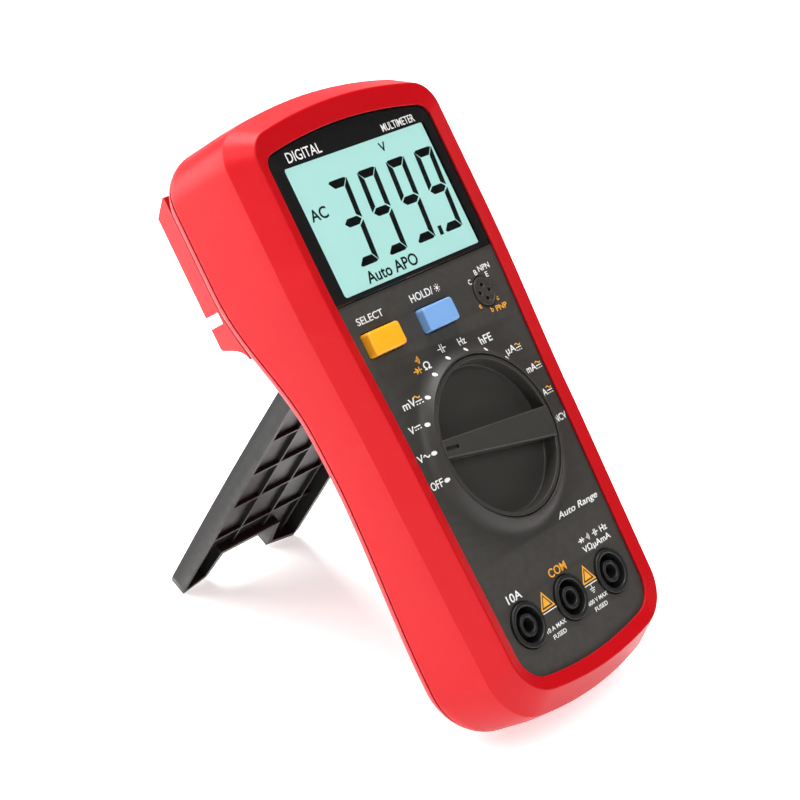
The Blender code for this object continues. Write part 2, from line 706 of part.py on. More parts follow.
def screw_seat(x, y, seat):
    """Cutter for a screw put in from the back: room for the head down to the seat, then the shank."""
    head, shank = HEAD_RADIUS + GAP, SCREW_RADIUS + GAP
    profile = [(0, -BIG), (head, -BIG), (head, seat), (shank, seat), (shank, 0), (0, 0)]
    return moved(lathe(profile, 12), x, y)


def screw(name, at, length, shank, head, parent, look):
    """Pan-head screw: head below its own origin, shank above it."""
    profile = [(0, -HEAD_HEIGHT), (head * 0.75, -HEAD_HEIGHT), (head, -HEAD_HEIGHT * 0.6), (head, 0),
               (shank, 0), (shank, length - shank), (0, length)]
    return solid(name, lathe(profile, 10), look, parent, at)


# ---- display -------------------------------------------------------------------------

def make_display(parent, clear, glass, white, dark, rubber):
    lens = cut_below(half_outline(OPENING_SIDE + GAP, *ends(OPENING_SIDE + GAP)), LENS_BOTTOM)
    base = LENS_PROUD - LENS_THICK
    solid("display_lens", loft([ring(lens, base), ring(lens, LENS_PROUD)]), clear, parent)

    half = WINDOW_HALF + GLASS_BORDER
    low, high = WINDOW_LOW - GLASS_BORDER, WINDOW_HIGH + GLASS_BORDER
    top = -PLATE - GAP
    glass_back = top - GLASS_THICK
    solid("lcd_glass", box((-half, half), (low, high), (glass_back, top)), glass, parent)
    light_back = glass_back - GAP - LIGHT_THICK
    solid("backlight_panel", box((-half, half), (low, high), (light_back, glass_back - GAP)), white, parent)
    frame_x = half + GAP + FRAME_WALL
    frame_low, frame_high = low - GAP - FRAME_WALL - ZEBRA_THICK, high + GAP + FRAME_WALL
    frame = solid("lcd_frame", box((-frame_x, frame_x), (frame_low, frame_high),
                                   (BOARD_TOP + GAP, top)), dark, parent)
    change(frame, "DIFFERENCE", [box((-half - GAP, half + GAP), (low - GAP - ZEBRA_THICK, high + GAP), (-BIG, BIG))])
    zebra_low = low - ZEBRA_THICK
    solid("zebra_strip", box((-half + 3 * MM, half - 3 * MM), (zebra_low, zebra_low + ZEBRA_THICK - GAP),
                             (BOARD_TOP + GAP, glass_back)), rubber, parent)


# ---- switch, buttons, jacks and socket -----------------------------------------------

def make_knob(parent, plastic, board, steel):
    axis = empty("dial_axis", parent, (0, DIAL_Y, 0), (0, 0, math.radians(DIAL_REST)))
    radius = COLLAR_RADIUS - GAP
    rim = radius - RIM_WALL
    knob = solid("rotary_knob", lathe([
        (0, KNOB_FLOOR), (rim - 0.6 * MM, KNOB_FLOOR), (rim - 0.3 * MM, KNOB_FLOOR + 0.7 * MM),
        (rim, COLLAR_HEIGHT - 0.5 * MM), (radius - 0.3 * MM, COLLAR_HEIGHT - 0.3 * MM),
        (radius, COLLAR_HEIGHT - 0.6 * MM), (radius, GAP - WELL_DEPTH), (HUB_RADIUS, GAP - WELL_DEPTH),
        (HUB_RADIUS, HUB_END), (0, HUB_END),
    ], 40), plastic, axis)
    reach = radius - 0.5 * MM
    bar = prism([(reach, -BAR_NARROW / 2), (reach, BAR_NARROW / 2), (-reach, BAR_WIDE / 2),
                 (-reach, -BAR_WIDE / 2)], KNOB_FLOOR - 1 * MM, BAR_TOP)
    change(knob, "UNION", [bar])
    change(knob, "DIFFERENCE", [block((reach - 3 * MM, 0, BAR_TOP), (5 * MM, 1 * MM, 0.8 * MM))])
    wiper_top = HUB_END - GAP
    wiper = solid("wiper_plate", cylinder(WIPER_RADIUS, wiper_top - WIPER_THICK, wiper_top, 24), board, axis)
    change(wiper, "DIFFERENCE", [cylinder(HUB_RADIUS / 2, -BIG, BIG, 16)])
    ball = HUB_RADIUS + GAP + 4 * MM
    for number, side in enumerate((-1, 1), 1):
        sphere = bmesh.new()
        bmesh.ops.create_uvsphere(sphere, u_segments=10, v_segments=6, radius=BALL_RADIUS)
        at = (0, side * ball, -WELL_DEPTH - WELL_WALL - GAP - BALL_RADIUS)
        solid(f"detent_ball_{number}", sphere, steel, axis, at)


def make_buttons(parent, yellow, blue, rubber):
    middle = (BUTTON_LOW + BUTTON_HIGH) / 2
    half_y = (BUTTON_HIGH - BUTTON_LOW) / 2
    half_x = BUTTON_WIDTH / 2
    pad_top = BOARD_TOP + 3.4 * MM
    for name, x, look in (("select_button", SELECT_X, yellow), ("hold_button", HOLD_X, blue)):
        flange = -PLATE - GAP
        sizes = [
            (half_x + BUTTON_FLANGE, half_y + BUTTON_FLANGE, flange - 0.9 * MM),
            (half_x + BUTTON_FLANGE, half_y + BUTTON_FLANGE, flange),
            (half_x, half_y, flange),
            (half_x, half_y, 0),
            (half_x - BUTTON_DRAFT, half_y - BUTTON_DRAFT, BUTTON_PROUD - BUTTON_ROUND),
            (half_x - BUTTON_DRAFT - BUTTON_ROUND, half_y - BUTTON_DRAFT - BUTTON_ROUND, BUTTON_PROUD),
        ]
        rings = [ring([(a, b), (a, -b)], z) for a, b, z in sizes]
        button = solid(name, loft(rings), look, parent, (x, middle, 0))
        change(button, "UNION", [block((0, 0, (pad_top + BUTTON_TRAVEL + GAP + flange - 0.5 * MM) / 2), (
            STEM, STEM, flange - 0.5 * MM - pad_top - BUTTON_TRAVEL - GAP))])
    gap = 2 * MM
    pad = solid("button_pad", box((SELECT_X - half_x, HOLD_X + half_x),
                                  (middle - half_y + 1 * MM, middle + half_y - 1 * MM),
                                  (BOARD_TOP + GAP, BOARD_TOP + 1.4 * MM)),
                rubber, parent)
    change(pad, "UNION", [moved(lathe([(0, BOARD_TOP + 1 * MM), (STEM, BOARD_TOP + 1 * MM),
                                       (STEM - gap / 4, pad_top), (0, pad_top)], 14), x, middle)
                          for x in (SELECT_X, HOLD_X)])


def jack_places():
    return [-JACK_PITCH, 0.0, JACK_PITCH]


def make_jacks(parent, plastic, brass):
    under = -PLATE - GAP
    bore = JACK_HOLE + CONTACT_WALL + GAP
    tube_r = JACK_RING - GAP
    for name, x in zip(("amps", "common", "volts"), jack_places()):
        solid(f"jack_sleeve_{name}", lathe([
            (bore, -JACK_DEPTH), (tube_r, -JACK_DEPTH), (tube_r, under - 1.1 * MM),
            (JACK_FLANGE, under - 1.1 * MM), (JACK_FLANGE, under), (JACK_RING, under),
            (JACK_RING, 0.45 * MM), (JACK_RING - 0.3 * MM, 0.75 * MM), (JACK_SHROUD + 0.5 * MM, 0.75 * MM),
            (JACK_SHROUD, 0.1 * MM), (JACK_SHROUD, -SHROUD_DEPTH), (JACK_POST, -SHROUD_DEPTH),
            (JACK_POST, POST_TOP), (JACK_HOLE + 0.2 * MM, POST_TOP), (JACK_HOLE, POST_TOP - 0.3 * MM),
            (JACK_HOLE, CONTACT_TOP + GAP), (bore, CONTACT_TOP + GAP),
        ]), plastic, parent, (x, 0, 0))
        outer = JACK_HOLE + CONTACT_WALL
        floor = -JACK_DEPTH - 1.5 * MM
        solid(f"jack_contact_{name}", lathe([
            (0, floor), (outer, floor), (outer, CONTACT_TOP), (JACK_HOLE, CONTACT_TOP),
            (JACK_HOLE, floor + 0.8 * MM), (0, floor + 0.8 * MM),
        ], 16), brass, parent, (x, 0, 0))


def make_socket(parent, plastic):
    socket = solid("transistor_socket", lathe([
        (0, -7 * MM), (SOCKET_RADIUS, -7 * MM), (SOCKET_RADIUS, 0.2 * MM),
        (SOCKET_RADIUS - 0.3 * MM, 0.5 * MM), (0, 0.5 * MM),
    ], 24), plastic, parent, (SOCKET_X, SOCKET_Y, 0))
    ways = ((1, 0), (-1, 0), (0, 1), (0, -1))
    change(socket, "DIFFERENCE", [
        moved(cylinder(SOCKET_HOLE, -5 * MM, BIG, 10), a * SOCKET_SPACING, b * SOCKET_SPACING) for a, b in ways])


# ---- circuit board and electronics ---------------------------------------------------

def make_board(parent, green):
    outline = cut_below(half_outline(BOARD_INSET, *ends(BOARD_INSET)), BOARD_LOW)
    board = solid("main_board", loft([ring(outline, BOARD_BACK), ring(outline, BOARD_TOP)]), green, parent)
    holes = [(x, y, BOSS_RADIUS + GAP) for x, y in case_screws() if y > BOARD_LOW]
    holes += [(x, y, SCREW_RADIUS * 0.8 + GAP) for x, y in board_screws()]
    change(board, "DIFFERENCE", [moved(cylinder(r, -BIG, 0, 12), x, y) for x, y, r in holes])


def fuse(name, x, y, length, radius, parent, ceramic, brass):
    """A fuse along y with a spring clip under each end."""
    seat = BOARD_BACK - GAP - 0.8 * MM - GAP - radius
    body = moved(lathe([(0, -length / 2), (radius, -length / 2), (radius, 6 * MM - length / 2),
                        (radius * 0.94, 6 * MM - length / 2), (radius * 0.94, length / 2 - 6 * MM),
                        (radius, length / 2 - 6 * MM), (radius, length / 2), (0, length / 2)], 16),
                 turn=(90, "X"))
    solid(name, body, ceramic, parent, (x, y, seat))
    inner = radius + GAP
    sheet = 0.5 * MM
    outer = inner + sheet
    floor = radius + GAP
    section = [(outer, -inner), (outer, floor + sheet), (-outer, floor + sheet), (-outer, -inner),
               (-inner, -inner), (-inner, floor), (inner, floor), (inner, -inner)]
    for number, way in enumerate((-1, 1), 1):
        solid(f"{name}_clip_{number}", prism(section, -2.4 * MM, 2.4 * MM, "y"), brass, parent,
              (x, y + way * (length / 2 - 3 * MM), seat))


def make_electronics(parent, looks):
    top = BOARD_BACK - GAP
    fuse("fuse_ten_amp", -21 * MM, 40 * MM, 32 * MM, 3.2 * MM, parent, looks["ceramic"], looks["brass"])
    fuse("fuse_milliamp", 21 * MM, 44 * MM, 20 * MM, 2.6 * MM, parent, looks["ceramic"], looks["brass"])
    solid("main_chip", block((2 * MM, 50 * MM, top - 0.9 * MM), (14 * MM, 14 * MM, 1.8 * MM)),
          looks["black"], parent)
    solid("buzzer", cylinder(6.5 * MM, -4.2 * MM, 0, 24), looks["black"], parent, (6 * MM, 70 * MM, top))
    solid("crystal", block((-6 * MM, 64 * MM, top - 1.2 * MM), (4.4 * MM, 10 * MM, 2.4 * MM)),
          looks["steel"], parent, bevel=0.6 * MM)
    for number, y in enumerate((74 * MM, 82 * MM), 1):
        solid(f"capacitor_{number}", cylinder(2.6 * MM, -7 * MM, 0, 16), looks["black"], parent,
              (-12 * MM, y, top))
    disc = moved(cylinder(3.6 * MM, -1 * MM, 1 * MM, 18), turn=(90, "Y"))
    solid("thermistor", disc, looks["ceramic"], parent, (13 * MM, 24 * MM, top - 3.6 * MM))
    solid("trimmer", block((4 * MM, 32 * MM, top - 1.5 * MM), (5 * MM, 5 * MM, 3 * MM)), looks["blue"], parent)
    reach = 4.5 * MM
    arch = [(-reach, top), (-reach, top - 3 * MM), (0, top - 5 * MM), (reach, top - 3 * MM), (reach, top)]
    tube("current_shunt", [(-6 * MM + x, 19 * MM, z) for x, z in arch], 0.8 * MM, looks["brass"], parent)
    strip_y = WINDOW_HIGH + GLASS_BORDER + FRAME_WALL + 2 * GAP + 0.8 * MM
    solid("voltage_sensor", block((0, strip_y, BOARD_TOP + 2.2 * MM), (18 * MM, 1.6 * MM, 3.6 * MM)),
          looks["brass"], parent)


def lead_places():
    return BATTERY_Y - 8 * MM, BATTERY_Y - 2 * MM


def make_battery(parent, looks):
    left, _, right = tub_section()
    roof = BOARD_BACK - 0.35 * MM
    z = roof - 1 * MM - GAP - BATTERY.z / 2
    x = left + GAP + BATTERY.x / 2
    battery = solid("battery", block((0, 0, 0), BATTERY), looks["battery"], parent, (x, BATTERY_Y, z),
                    bevel=1.2 * MM)
    studs = [moved(cylinder(STUD_RADIUS, -1.5 * MM, STUD_HEIGHT, 14), BATTERY.x / 2, way * STUD_SPACING / 2, 0, (90, "Y"))
             for way in (-1, 1)]
    change(battery, "UNION", studs)
    face = x + BATTERY.x / 2 + STUD_HEIGHT + GAP
    plug = solid("battery_snap", block((0, 0, 0), (right - GAP - face, BATTERY.y - 2 * MM, 13 * MM)),
                 looks["black"], parent, ((face + right - GAP) / 2, BATTERY_Y, z), bevel=0.8 * MM)
    wire = 0.7 * MM
    inner = half_width(BATTERY_Y) - OPENING_SIDE + LIP_OVERLAP - SKIRT_WALL - wire - GAP
    for name, y, look in zip(("red", "black"), lead_places(), (looks["red"], looks["black"])):
        start = right
        bend = max(inner, right + TUB_WALL + wire + GAP)
        route = [(start, y, -20 * MM), (start + TUB_WALL, y, -20 * MM), (bend, y, -18 * MM),
                 (bend, y, -15.5 * MM), (bend, y, BOARD_BACK - GAP)]
        tube(f"battery_lead_{name}", route, wire, look, parent)
    return plug


# ---- tilt stand ----------------------------------------------------------------------

def make_stand(parent, plastic, steel):
    hinge = empty("stand_hinge", parent, (0, HINGE_Y, HINGE_Z), (math.radians(STAND_OPEN), 0, 0))
    steps = 6
    outer = [(-STAND_LENGTH * k / steps, -STAND_OUTER - STAND_CROWN * math.sin(math.pi * k / steps))
             for k in range(steps + 1)]
    tip = 0.9 * STAND_END
    side = [(0.5 * STAND_END, STAND_INNER), (STAND_END, 0.6 * STAND_INNER), (1.15 * STAND_END, -STAND_INNER),
            (tip, -STAND_OUTER * 0.85)] + outer + [(-STAND_LENGTH, STAND_INNER)]
    stand = solid("tilt_stand", prism(side, -STAND_HALF, STAND_HALF, "x"), plastic, hinge)
    wall = STAND_WALL
    far = -STAND_LENGTH
    notch = far + NOTCH_HEIGHT
    inner = STAND_HALF - wall
    shell = [(-inner, 5 * MM), (inner, 5 * MM), (inner, far + wall), (NOTCH_FOOT + wall, far + wall),
             (NOTCH_TOP + wall, notch + wall), (-NOTCH_TOP - wall, notch + wall),
             (-NOTCH_FOOT - wall, far + wall), (-inner, far + wall)]
    change(stand, "DIFFERENCE", [prism(shell, wall - STAND_OUTER, BIG)])
    corner = FOOT_CHAMFER
    cuts = [prism([(-NOTCH_TOP, notch), (NOTCH_TOP, notch), (NOTCH_FOOT, far - 1 * MM),
                   (-NOTCH_FOOT, far - 1 * MM)], -BIG, BIG)]
    for way in (-1, 1):
        edge = way * STAND_HALF
        cuts.append(prism([(edge - way * corner * 0.4, far - 0.01 * MM), (edge + way * 0.01 * MM, far + corner),
                           (edge + way * 5 * MM, far + corner), (edge + way * 5 * MM, far - 5 * MM),
                           (edge - way * corner * 0.4, far - 5 * MM)], -BIG, BIG))
        cuts.append(moved(cylinder(PIN_RADIUS + GAP, -3 * MM, 3 * MM, 12), edge, 0, 0, (90, "Y")))
    change(stand, "DIFFERENCE", cuts)
    low = [(-inner, STAND_INNER), (-NOTCH_FOOT, NOTCH_INNER), (NOTCH_FOOT, NOTCH_INNER), (inner, STAND_INNER)]
    over = STAND_INNER + 5 * MM
    change(stand, "DIFFERENCE", [prism(low + [(inner, over), (-inner, over)], far - 1 * MM,
                                       notch + wall + 0.2 * MM, "y")])
    change(stand, "UNION", stand_ribs(), crossing=True)
    reach = STAND_HALF - GAP
    solid("stand_hinge_pin", moved(cylinder(PIN_RADIUS, -reach, reach, 12), turn=(90, "Y")), steel, hinge)


def stand_ribs():
    """Ribs across and along the inside of the stand; the outer ones along run down into the feet."""
    low = -STAND_LENGTH + NOTCH_HEIGHT + STAND_WALL / 2
    foot = STAND_WALL / 2 - STAND_LENGTH
    high = -LUG_RADIUS - RIB_FREE
    half = STAND_HALF - STAND_WALL / 2
    height = (STAND_WALL - STAND_OUTER - 0.4 * MM, STAND_WALL - STAND_OUTER + RIB_HEIGHT)
    thick = RIB_WIDTH / 2
    ribs = []
    y = high - RIB_PITCH / 2
    while y > low + RIB_PITCH / 4:
        ribs.append(box((-half, half), (y - thick, y + thick), height))
        y -= RIB_PITCH
    x = RIB_COLUMN / 2
    while x < half - RIB_COLUMN / 4:
        end = foot if x > NOTCH_FOOT + STAND_WALL else low
        ribs += [box((side * x - thick, side * x + thick), (end, high), height) for side in (-1, 1)]
        x += RIB_COLUMN
    return ribs


# ---- the whole meter -----------------------------------------------------------------

def stand_angle():
    """How far the face leans from upright, so that case and foot rest on one floor."""
    open_angle = math.radians(STAND_OPEN)
    foot_y = HINGE_Y - STAND_LENGTH * math.cos(open_angle) - STAND_INNER * math.sin(open_angle)
    foot_z = HINGE_Z - STAND_LENGTH * math.sin(open_angle) + STAND_INNER * math.cos(open_angle)
    heel_y = CASE_BOTTOM + END_ROUND
    heel_z = back(CASE_BOTTOM) + END_ROUND
    low, high = 0.0, math.radians(80)
    for _ in range(60):
        lean = (low + high) / 2
        foot = foot_y * math.cos(lean) + foot_z * math.sin(lean)
        heel = heel_y * math.cos(lean) + heel_z * math.sin(lean) - END_ROUND
        low, high = (lean, high) if foot > heel else (low, lean)
    return lean


def settle(root):
    """Puts the part's floor at z = 0 and its middle over the origin."""
    bpy.context.view_layer.update()
    graph = bpy.context.evaluated_depsgraph_get()
    points = []
    for obj in bpy.context.scene.objects:
        if obj.type == "MESH" and not obj.hide_render:
            solid_now = obj.evaluated_get(graph)
            points += [solid_now.matrix_world @ vertex.co for vertex in solid_now.data.vertices]
    spans = [(min(values), max(values)) for values in zip(*points)]
    root.location -= Vector((sum(spans[0]) / 2, sum(spans[1]) / 2, spans[2][0]))


def main():
    for obj in list(bpy.data.objects):
        bpy.data.objects.remove(obj)
    looks = {
        "case_red": paint("case_red", (0.62, 0.03, 0.035), 0.45),
        "panel": paint("panel_grey", (0.062, 0.058, 0.052), 0.5),
        "clear": paint("clear_acrylic", (0.02, 0.02, 0.022), 0.08),
        "glass": paint("lcd_glass", (0.48, 0.8, 0.76), 0.15),
        "white": paint("light_guide", (0.85, 0.87, 0.85), 0.4),
        "black": paint("black_plastic", (0.02, 0.02, 0.02), 0.45),
        "rubber": paint("grey_rubber", (0.12, 0.12, 0.13), 0.8),
        "yellow": paint("yellow_plastic", (0.95, 0.46, 0.03), 0.4),
        "blue": paint("blue_plastic", (0.16, 0.36, 0.75), 0.4),
        "brass": paint("brass", (0.78, 0.57, 0.28), 0.3, 1.0),
        "steel": paint("steel", (0.6, 0.6, 0.6), 0.3, 1.0),
        "green": paint("circuit_board", (0.02, 0.2, 0.07), 0.4),
        "ceramic": paint("ceramic", (0.8, 0.78, 0.7), 0.3),
        "battery": paint("battery_wrap", (0.05, 0.05, 0.06), 0.35),
        "red": paint("lead_red", (0.55, 0.02, 0.02), 0.5),
        "stand": paint("stand_grey", (0.03, 0.03, 0.03), 0.5),
    }
    root = empty("meter", None, (0, 0, 0), (math.pi / 2 - stand_angle(), 0, 0))
    make_front_case(root, looks["panel"])
    make_bezel(root, looks["case_red"])
    make_rear_case(root, looks["case_red"])
    make_battery_door(root, looks["case_red"])
    make_case_screws(root, looks["steel"])
    make_display(root, looks["clear"], looks["glass"], looks["white"], looks["black"], looks["rubber"])
    make_knob(root, looks["panel"], looks["green"], looks["steel"])
    make_buttons(root, looks["yellow"], looks["blue"], looks["rubber"])
    make_jacks(root, looks["black"], looks["brass"])
    make_socket(root, looks["black"])
    make_board(root, looks["green"])
    make_electronics(root, looks)
    make_battery(root, looks)
    make_stand(root, looks["stand"], looks["steel"])
    settle(root)


main()
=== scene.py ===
# The looks of a digital multimeter on its tilt stand: finer shells, print, lit display, finishes and light.
# Sizes are in millimetres. They are turned into metres and into the row frame when a piece is made.
import json
import math
import bmesh
import bpy
import numpy as np
from mathutils import Matrix, Vector


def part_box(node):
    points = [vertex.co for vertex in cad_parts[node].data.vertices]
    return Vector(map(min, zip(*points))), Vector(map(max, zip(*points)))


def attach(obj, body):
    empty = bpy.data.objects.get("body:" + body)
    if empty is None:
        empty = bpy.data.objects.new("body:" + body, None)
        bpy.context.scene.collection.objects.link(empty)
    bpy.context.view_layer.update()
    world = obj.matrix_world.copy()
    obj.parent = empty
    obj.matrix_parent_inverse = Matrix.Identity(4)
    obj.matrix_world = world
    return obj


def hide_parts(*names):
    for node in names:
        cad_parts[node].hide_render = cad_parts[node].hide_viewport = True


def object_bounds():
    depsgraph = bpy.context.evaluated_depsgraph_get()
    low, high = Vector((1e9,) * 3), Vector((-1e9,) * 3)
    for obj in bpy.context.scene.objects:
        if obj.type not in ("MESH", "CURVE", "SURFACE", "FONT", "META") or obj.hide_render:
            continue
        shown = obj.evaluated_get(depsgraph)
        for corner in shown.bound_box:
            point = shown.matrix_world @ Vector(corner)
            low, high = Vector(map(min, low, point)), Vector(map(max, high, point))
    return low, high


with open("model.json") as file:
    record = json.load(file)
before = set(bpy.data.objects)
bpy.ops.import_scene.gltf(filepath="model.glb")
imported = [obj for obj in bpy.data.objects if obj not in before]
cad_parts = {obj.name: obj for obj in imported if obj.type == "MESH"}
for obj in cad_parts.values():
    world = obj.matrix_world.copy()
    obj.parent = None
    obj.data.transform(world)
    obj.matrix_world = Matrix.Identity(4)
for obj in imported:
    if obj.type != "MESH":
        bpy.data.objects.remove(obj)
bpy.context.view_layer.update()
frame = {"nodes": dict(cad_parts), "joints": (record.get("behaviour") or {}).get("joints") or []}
mm = 0.001
print("stage 1: frame loaded")

# The meter's own frame: x to the right, y up the face, z out of the face, from the middle jack.
joints = {joint["name"]: joint for joint in frame["joints"]}
dialSpot = {"y": 47}
hingeSpot = {"y": 82.56}


def faceFrame():
    outward = Vector(joints["dial_turn"]["axis"]).normalized()
    right = Vector((1, 0, 0))
    up = outward.cross(right)
    origin = Vector(joints["dial_turn"]["pos_m"]) - up * dialSpot["y"] * mm
    turned = Matrix((right, up, outward)).transposed().to_4x4()
    return Matrix.Translation(origin) @ turned


bodyPlace = faceFrame() @ Matrix.Scale(mm, 4)
dialRest = 171.4  # degrees from x to the pointer
dialPlace = (bodyPlace @ Matrix.Translation((0, dialSpot["y"], 0))
             @ Matrix.Rotation(math.radians(dialRest), 4, "Z"))
standOpen = joints["stand_fold"]["range_deg"][1]
hingeHeight = (bodyPlace.inverted() @ Vector(joints["stand_fold"]["pos_m"])).z
standPlace = (bodyPlace @ Matrix.Translation((0, hingeSpot["y"], hingeHeight))
              @ Matrix.Rotation(math.radians(standOpen), 4, "X"))

# Outline rules shared by every shell.
case = {
    "headHalf": 40, "waistHalf": 37.6, "neckLow": 45, "neckHigh": 105, "sideTaper": 0.035,
    "top": 151, "topSag": 5, "topRadius": 11, "bottom": -25.5, "bottomSag": 6, "bottomRadius": 16,
    "headDepth": 30, "waistDepth": 21.5, "footDepth": 26.2, "headStep": (68, 112), "footStep": (-8, 55),
    "backRound": 4.2, "endRound": 8,
    "openSide": 7.1,  # where the bezel's face stops
    "sideStops": (0, 3.2, 7.1), "topStops": (0, 5, 11.25), "bottomStops": (0, 6, 10),
}
fine = (8, 14, 36, 18, 9)  # points on the half outline: top, corner, side, corner, bottom


def smooth(t):
    t = min(max(t, 0.0), 1.0)
    return t * t * (3 - 2 * t)


def halfWidth(y):
    neck = smooth((y - case["neckLow"]) / (case["neckHigh"] - case["neckLow"]))
    flare = (case["headHalf"] - case["waistHalf"]) * neck
    return case["waistHalf"] + flare - case["sideTaper"] * max(0.0, case["neckLow"] - y)


def parting(y):  # height of the line between the bezel and the rear case
    low, high = case["headStep"]
    head = smooth((y - low) / (high - low))
    low, high = case["footStep"]
    foot = smooth((high - y) / (high - low))
    waist = case["waistDepth"]
    return -(waist + (case["headDepth"] - waist) * head + (case["footDepth"] - waist) * foot)


def back(y):
    return parting(y) - case["backRound"]


def ends(side):
    beyond = max(0.0, side - case["openSide"])
    top = np.interp(side, case["sideStops"], case["topStops"]) + beyond
    bottom = np.interp(side, case["sideStops"], case["bottomStops"]) + beyond
    return float(top), float(bottom)


def endRound(depth):
    rise = case["endRound"] - case["backRound"] + depth
    return case["endRound"] - math.sqrt(max(0.0, case["endRound"] ** 2 - max(0.0, rise) ** 2))


def arc(middle, radius, angles):
    return [(middle[0] + radius * math.cos(angle), middle[1] + radius * math.sin(angle)) for angle in angles]


def cornerArc(edge, slope, way, radius, side):
    x = halfWidth(edge(0)) - side - radius
    for _ in range(6):
        tilt = math.atan(-way * slope(x))
        middle = Vector((x - radius * math.sin(tilt), edge(x) - way * radius * math.cos(tilt)))
        x += halfWidth(middle.y) - side - radius - middle.x
    return x, middle, tilt


def halfOutline(side, top, bottom, counts=fine):
    def topEdge(x):
        return case["top"] - top - case["topSag"] * (x / case["headHalf"]) ** 2

    def bottomEdge(x):
        return case["bottom"] + bottom + case["bottomSag"] * (x / case["waistHalf"]) ** 2

    highRadius = max(case["topRadius"] - side, 1)
    lowRadius = max(case["bottomRadius"] - side, 1)
    highX, highMiddle, highTilt = cornerArc(
        topEdge, lambda x: -2 * case["topSag"] * x / case["headHalf"] ** 2, 1, highRadius, side)
    lowX, lowMiddle, lowTilt = cornerArc(
        bottomEdge, lambda x: 2 * case["bottomSag"] * x / case["waistHalf"] ** 2, -1, lowRadius, side)
    across, corner, along, lowCorner, lowAcross = counts
    points = [(highX * (k + 0.5) / across, topEdge(highX * (k + 0.5) / across)) for k in range(across)]
    turn = math.pi / 2 - highTilt
    points += arc(highMiddle, highRadius, [turn * (1 - k / corner) for k in range(corner + 1)])
    for k in range(1, along + 1):
        y = highMiddle.y + (lowMiddle.y - highMiddle.y) * k / (along + 1)
        points.append((halfWidth(y) - side, y))
    turn = math.pi / 2 - lowTilt
    points += arc(lowMiddle, lowRadius, [-turn * k / lowCorner for k in range(lowCorner + 1)])
    for k in range(lowAcross):
        x = lowX * (lowAcross - k - 0.5) / lowAcross
        points.append((x, bottomEdge(x)))
    return points


def cutBelow(points, y):
    kept = [p for p in points if p[1] > y + 0.5]
    return kept + [(kept[-1][0], y)]


def ring(points, height):
    rule = height if callable(height) else lambda y: height
    whole = points + [(-x, y) for x, y in reversed(points)]
    return [(x, y, rule(y)) for x, y in whole]


def level(side, height, stops=None):
    return ring(halfOutline(side, *(stops or ends(side))), height)


def outward(bm):
    bmesh.ops.recalc_face_normals(bm, faces=bm.faces)
    if bm.calc_volume(signed=True) < 0:
        bmesh.ops.reverse_faces(bm, faces=bm.faces)
    return bm


def loft(rings, closed=False, flatCaps=False):
    bm = bmesh.new()
    rows = [[bm.verts.new(point) for point in points] for points in rings]
    count = len(rows[0])
    follow = rows[1:] + rows[:1] if closed else rows[1:]
    for row, after in zip(rows, follow):
        for i in range(count):
            j = (i + 1) % count
            bm.faces.new((row[i], row[j], after[j], after[i]))
    if not closed:
        for row in (rows[0], rows[-1]):
            if flatCaps:
                bm.faces.new(row)
                continue
            for i in range(count // 2 - 1):
                bm.faces.new((row[i], row[i + 1], row[count - 2 - i], row[count - 1 - i]))
    return outward(bm)


def lathe(profile, segments=64):
    bm = bmesh.new()
    turns = [2 * math.pi * k / segments for k in range(segments)]
    rows = [[bm.verts.new((r * math.cos(a), r * math.sin(a), z)) for a in (turns if r else turns[:1])]
            for r, z in profile]
    closed = all(r for r, _ in profile)
    for row, after in zip(rows, rows[1:] + rows[:1] if closed else rows[1:]):
        for k in range(segments):
            m = (k + 1) % segments
            corners = (row[k % len(row)], row[m % len(row)], after[m % len(after)], after[k % len(after)])
            face = list(dict.fromkeys(corners))
            if len(face) > 2:
                bm.faces.new(face)
    return outward(bm)


def rounded(points, radii, steps=4):
    # An open line with each inner corner turned into an arc of its own radius.
    out = [points[0]]
    for before, corner, after, radius in zip(points, points[1:], points[2:], radii):
        here = Vector(corner)
        a, b = Vector(before) - here, Vector(after) - here
        if radius <= 0:
            out.append(tuple(corner))
            continue
        half = a.angle(b) / 2
        reach = min(radius / math.tan(half), 0.49 * a.length, 0.49 * b.length)
        start, stop = here + a.normalized() * reach, here + b.normalized() * reach
        for k in range(steps + 1):
            t = k / steps
            out.append(tuple(start * (1 - t) ** 2 + here * 2 * t * (1 - t) + stop * t * t))
    out.append(points[-1])
    return out


def cylinder(radius, low, high, segments=64):
    return lathe([(0, low), (radius, low), (radius, high), (0, high)], segments)


def prism(points, low, high, axis="z"):
    place = {
        "z": lambda a, b, c: (a, b, c),
        "x": lambda a, b, c: (c, a, b),
        "y": lambda a, b, c: (a, c, b),
    }[axis]
    bm = bmesh.new()
    first = [bm.verts.new(place(a, b, low)) for a, b in points]
    last = [bm.verts.new(place(a, b, high)) for a, b in points]
    bm.faces.new(first)
    bm.faces.new(reversed(last))
    for i in range(len(points)):
        j = (i + 1) % len(points)
        bm.faces.new((first[i], last[i], last[j], first[j]))
    return outward(bm)


def block(centre, size):
    (x0, x1), (y0, y1), (z0, z1) = [(c - s / 2, c + s / 2) for c, s in zip(centre, size)]
    return prism([(x0, y0), (x1, y0), (x1, y1), (x0, y1)], z0, z1)


def roundRect(halfX, halfY, radius, steps=6, centre=(0, 0)):
    points = []
    for turn, (sx, sy) in enumerate(((1, 1), (-1, 1), (-1, -1), (1, -1))):
        for k in range(steps + 1):
            angle = math.pi / 2 * (turn + k / steps)
            points.append((centre[0] + sx * (halfX - radius) + radius * math.cos(angle),
                           centre[1] + sy * (halfY - radius) + radius * math.sin(angle)))
    return points


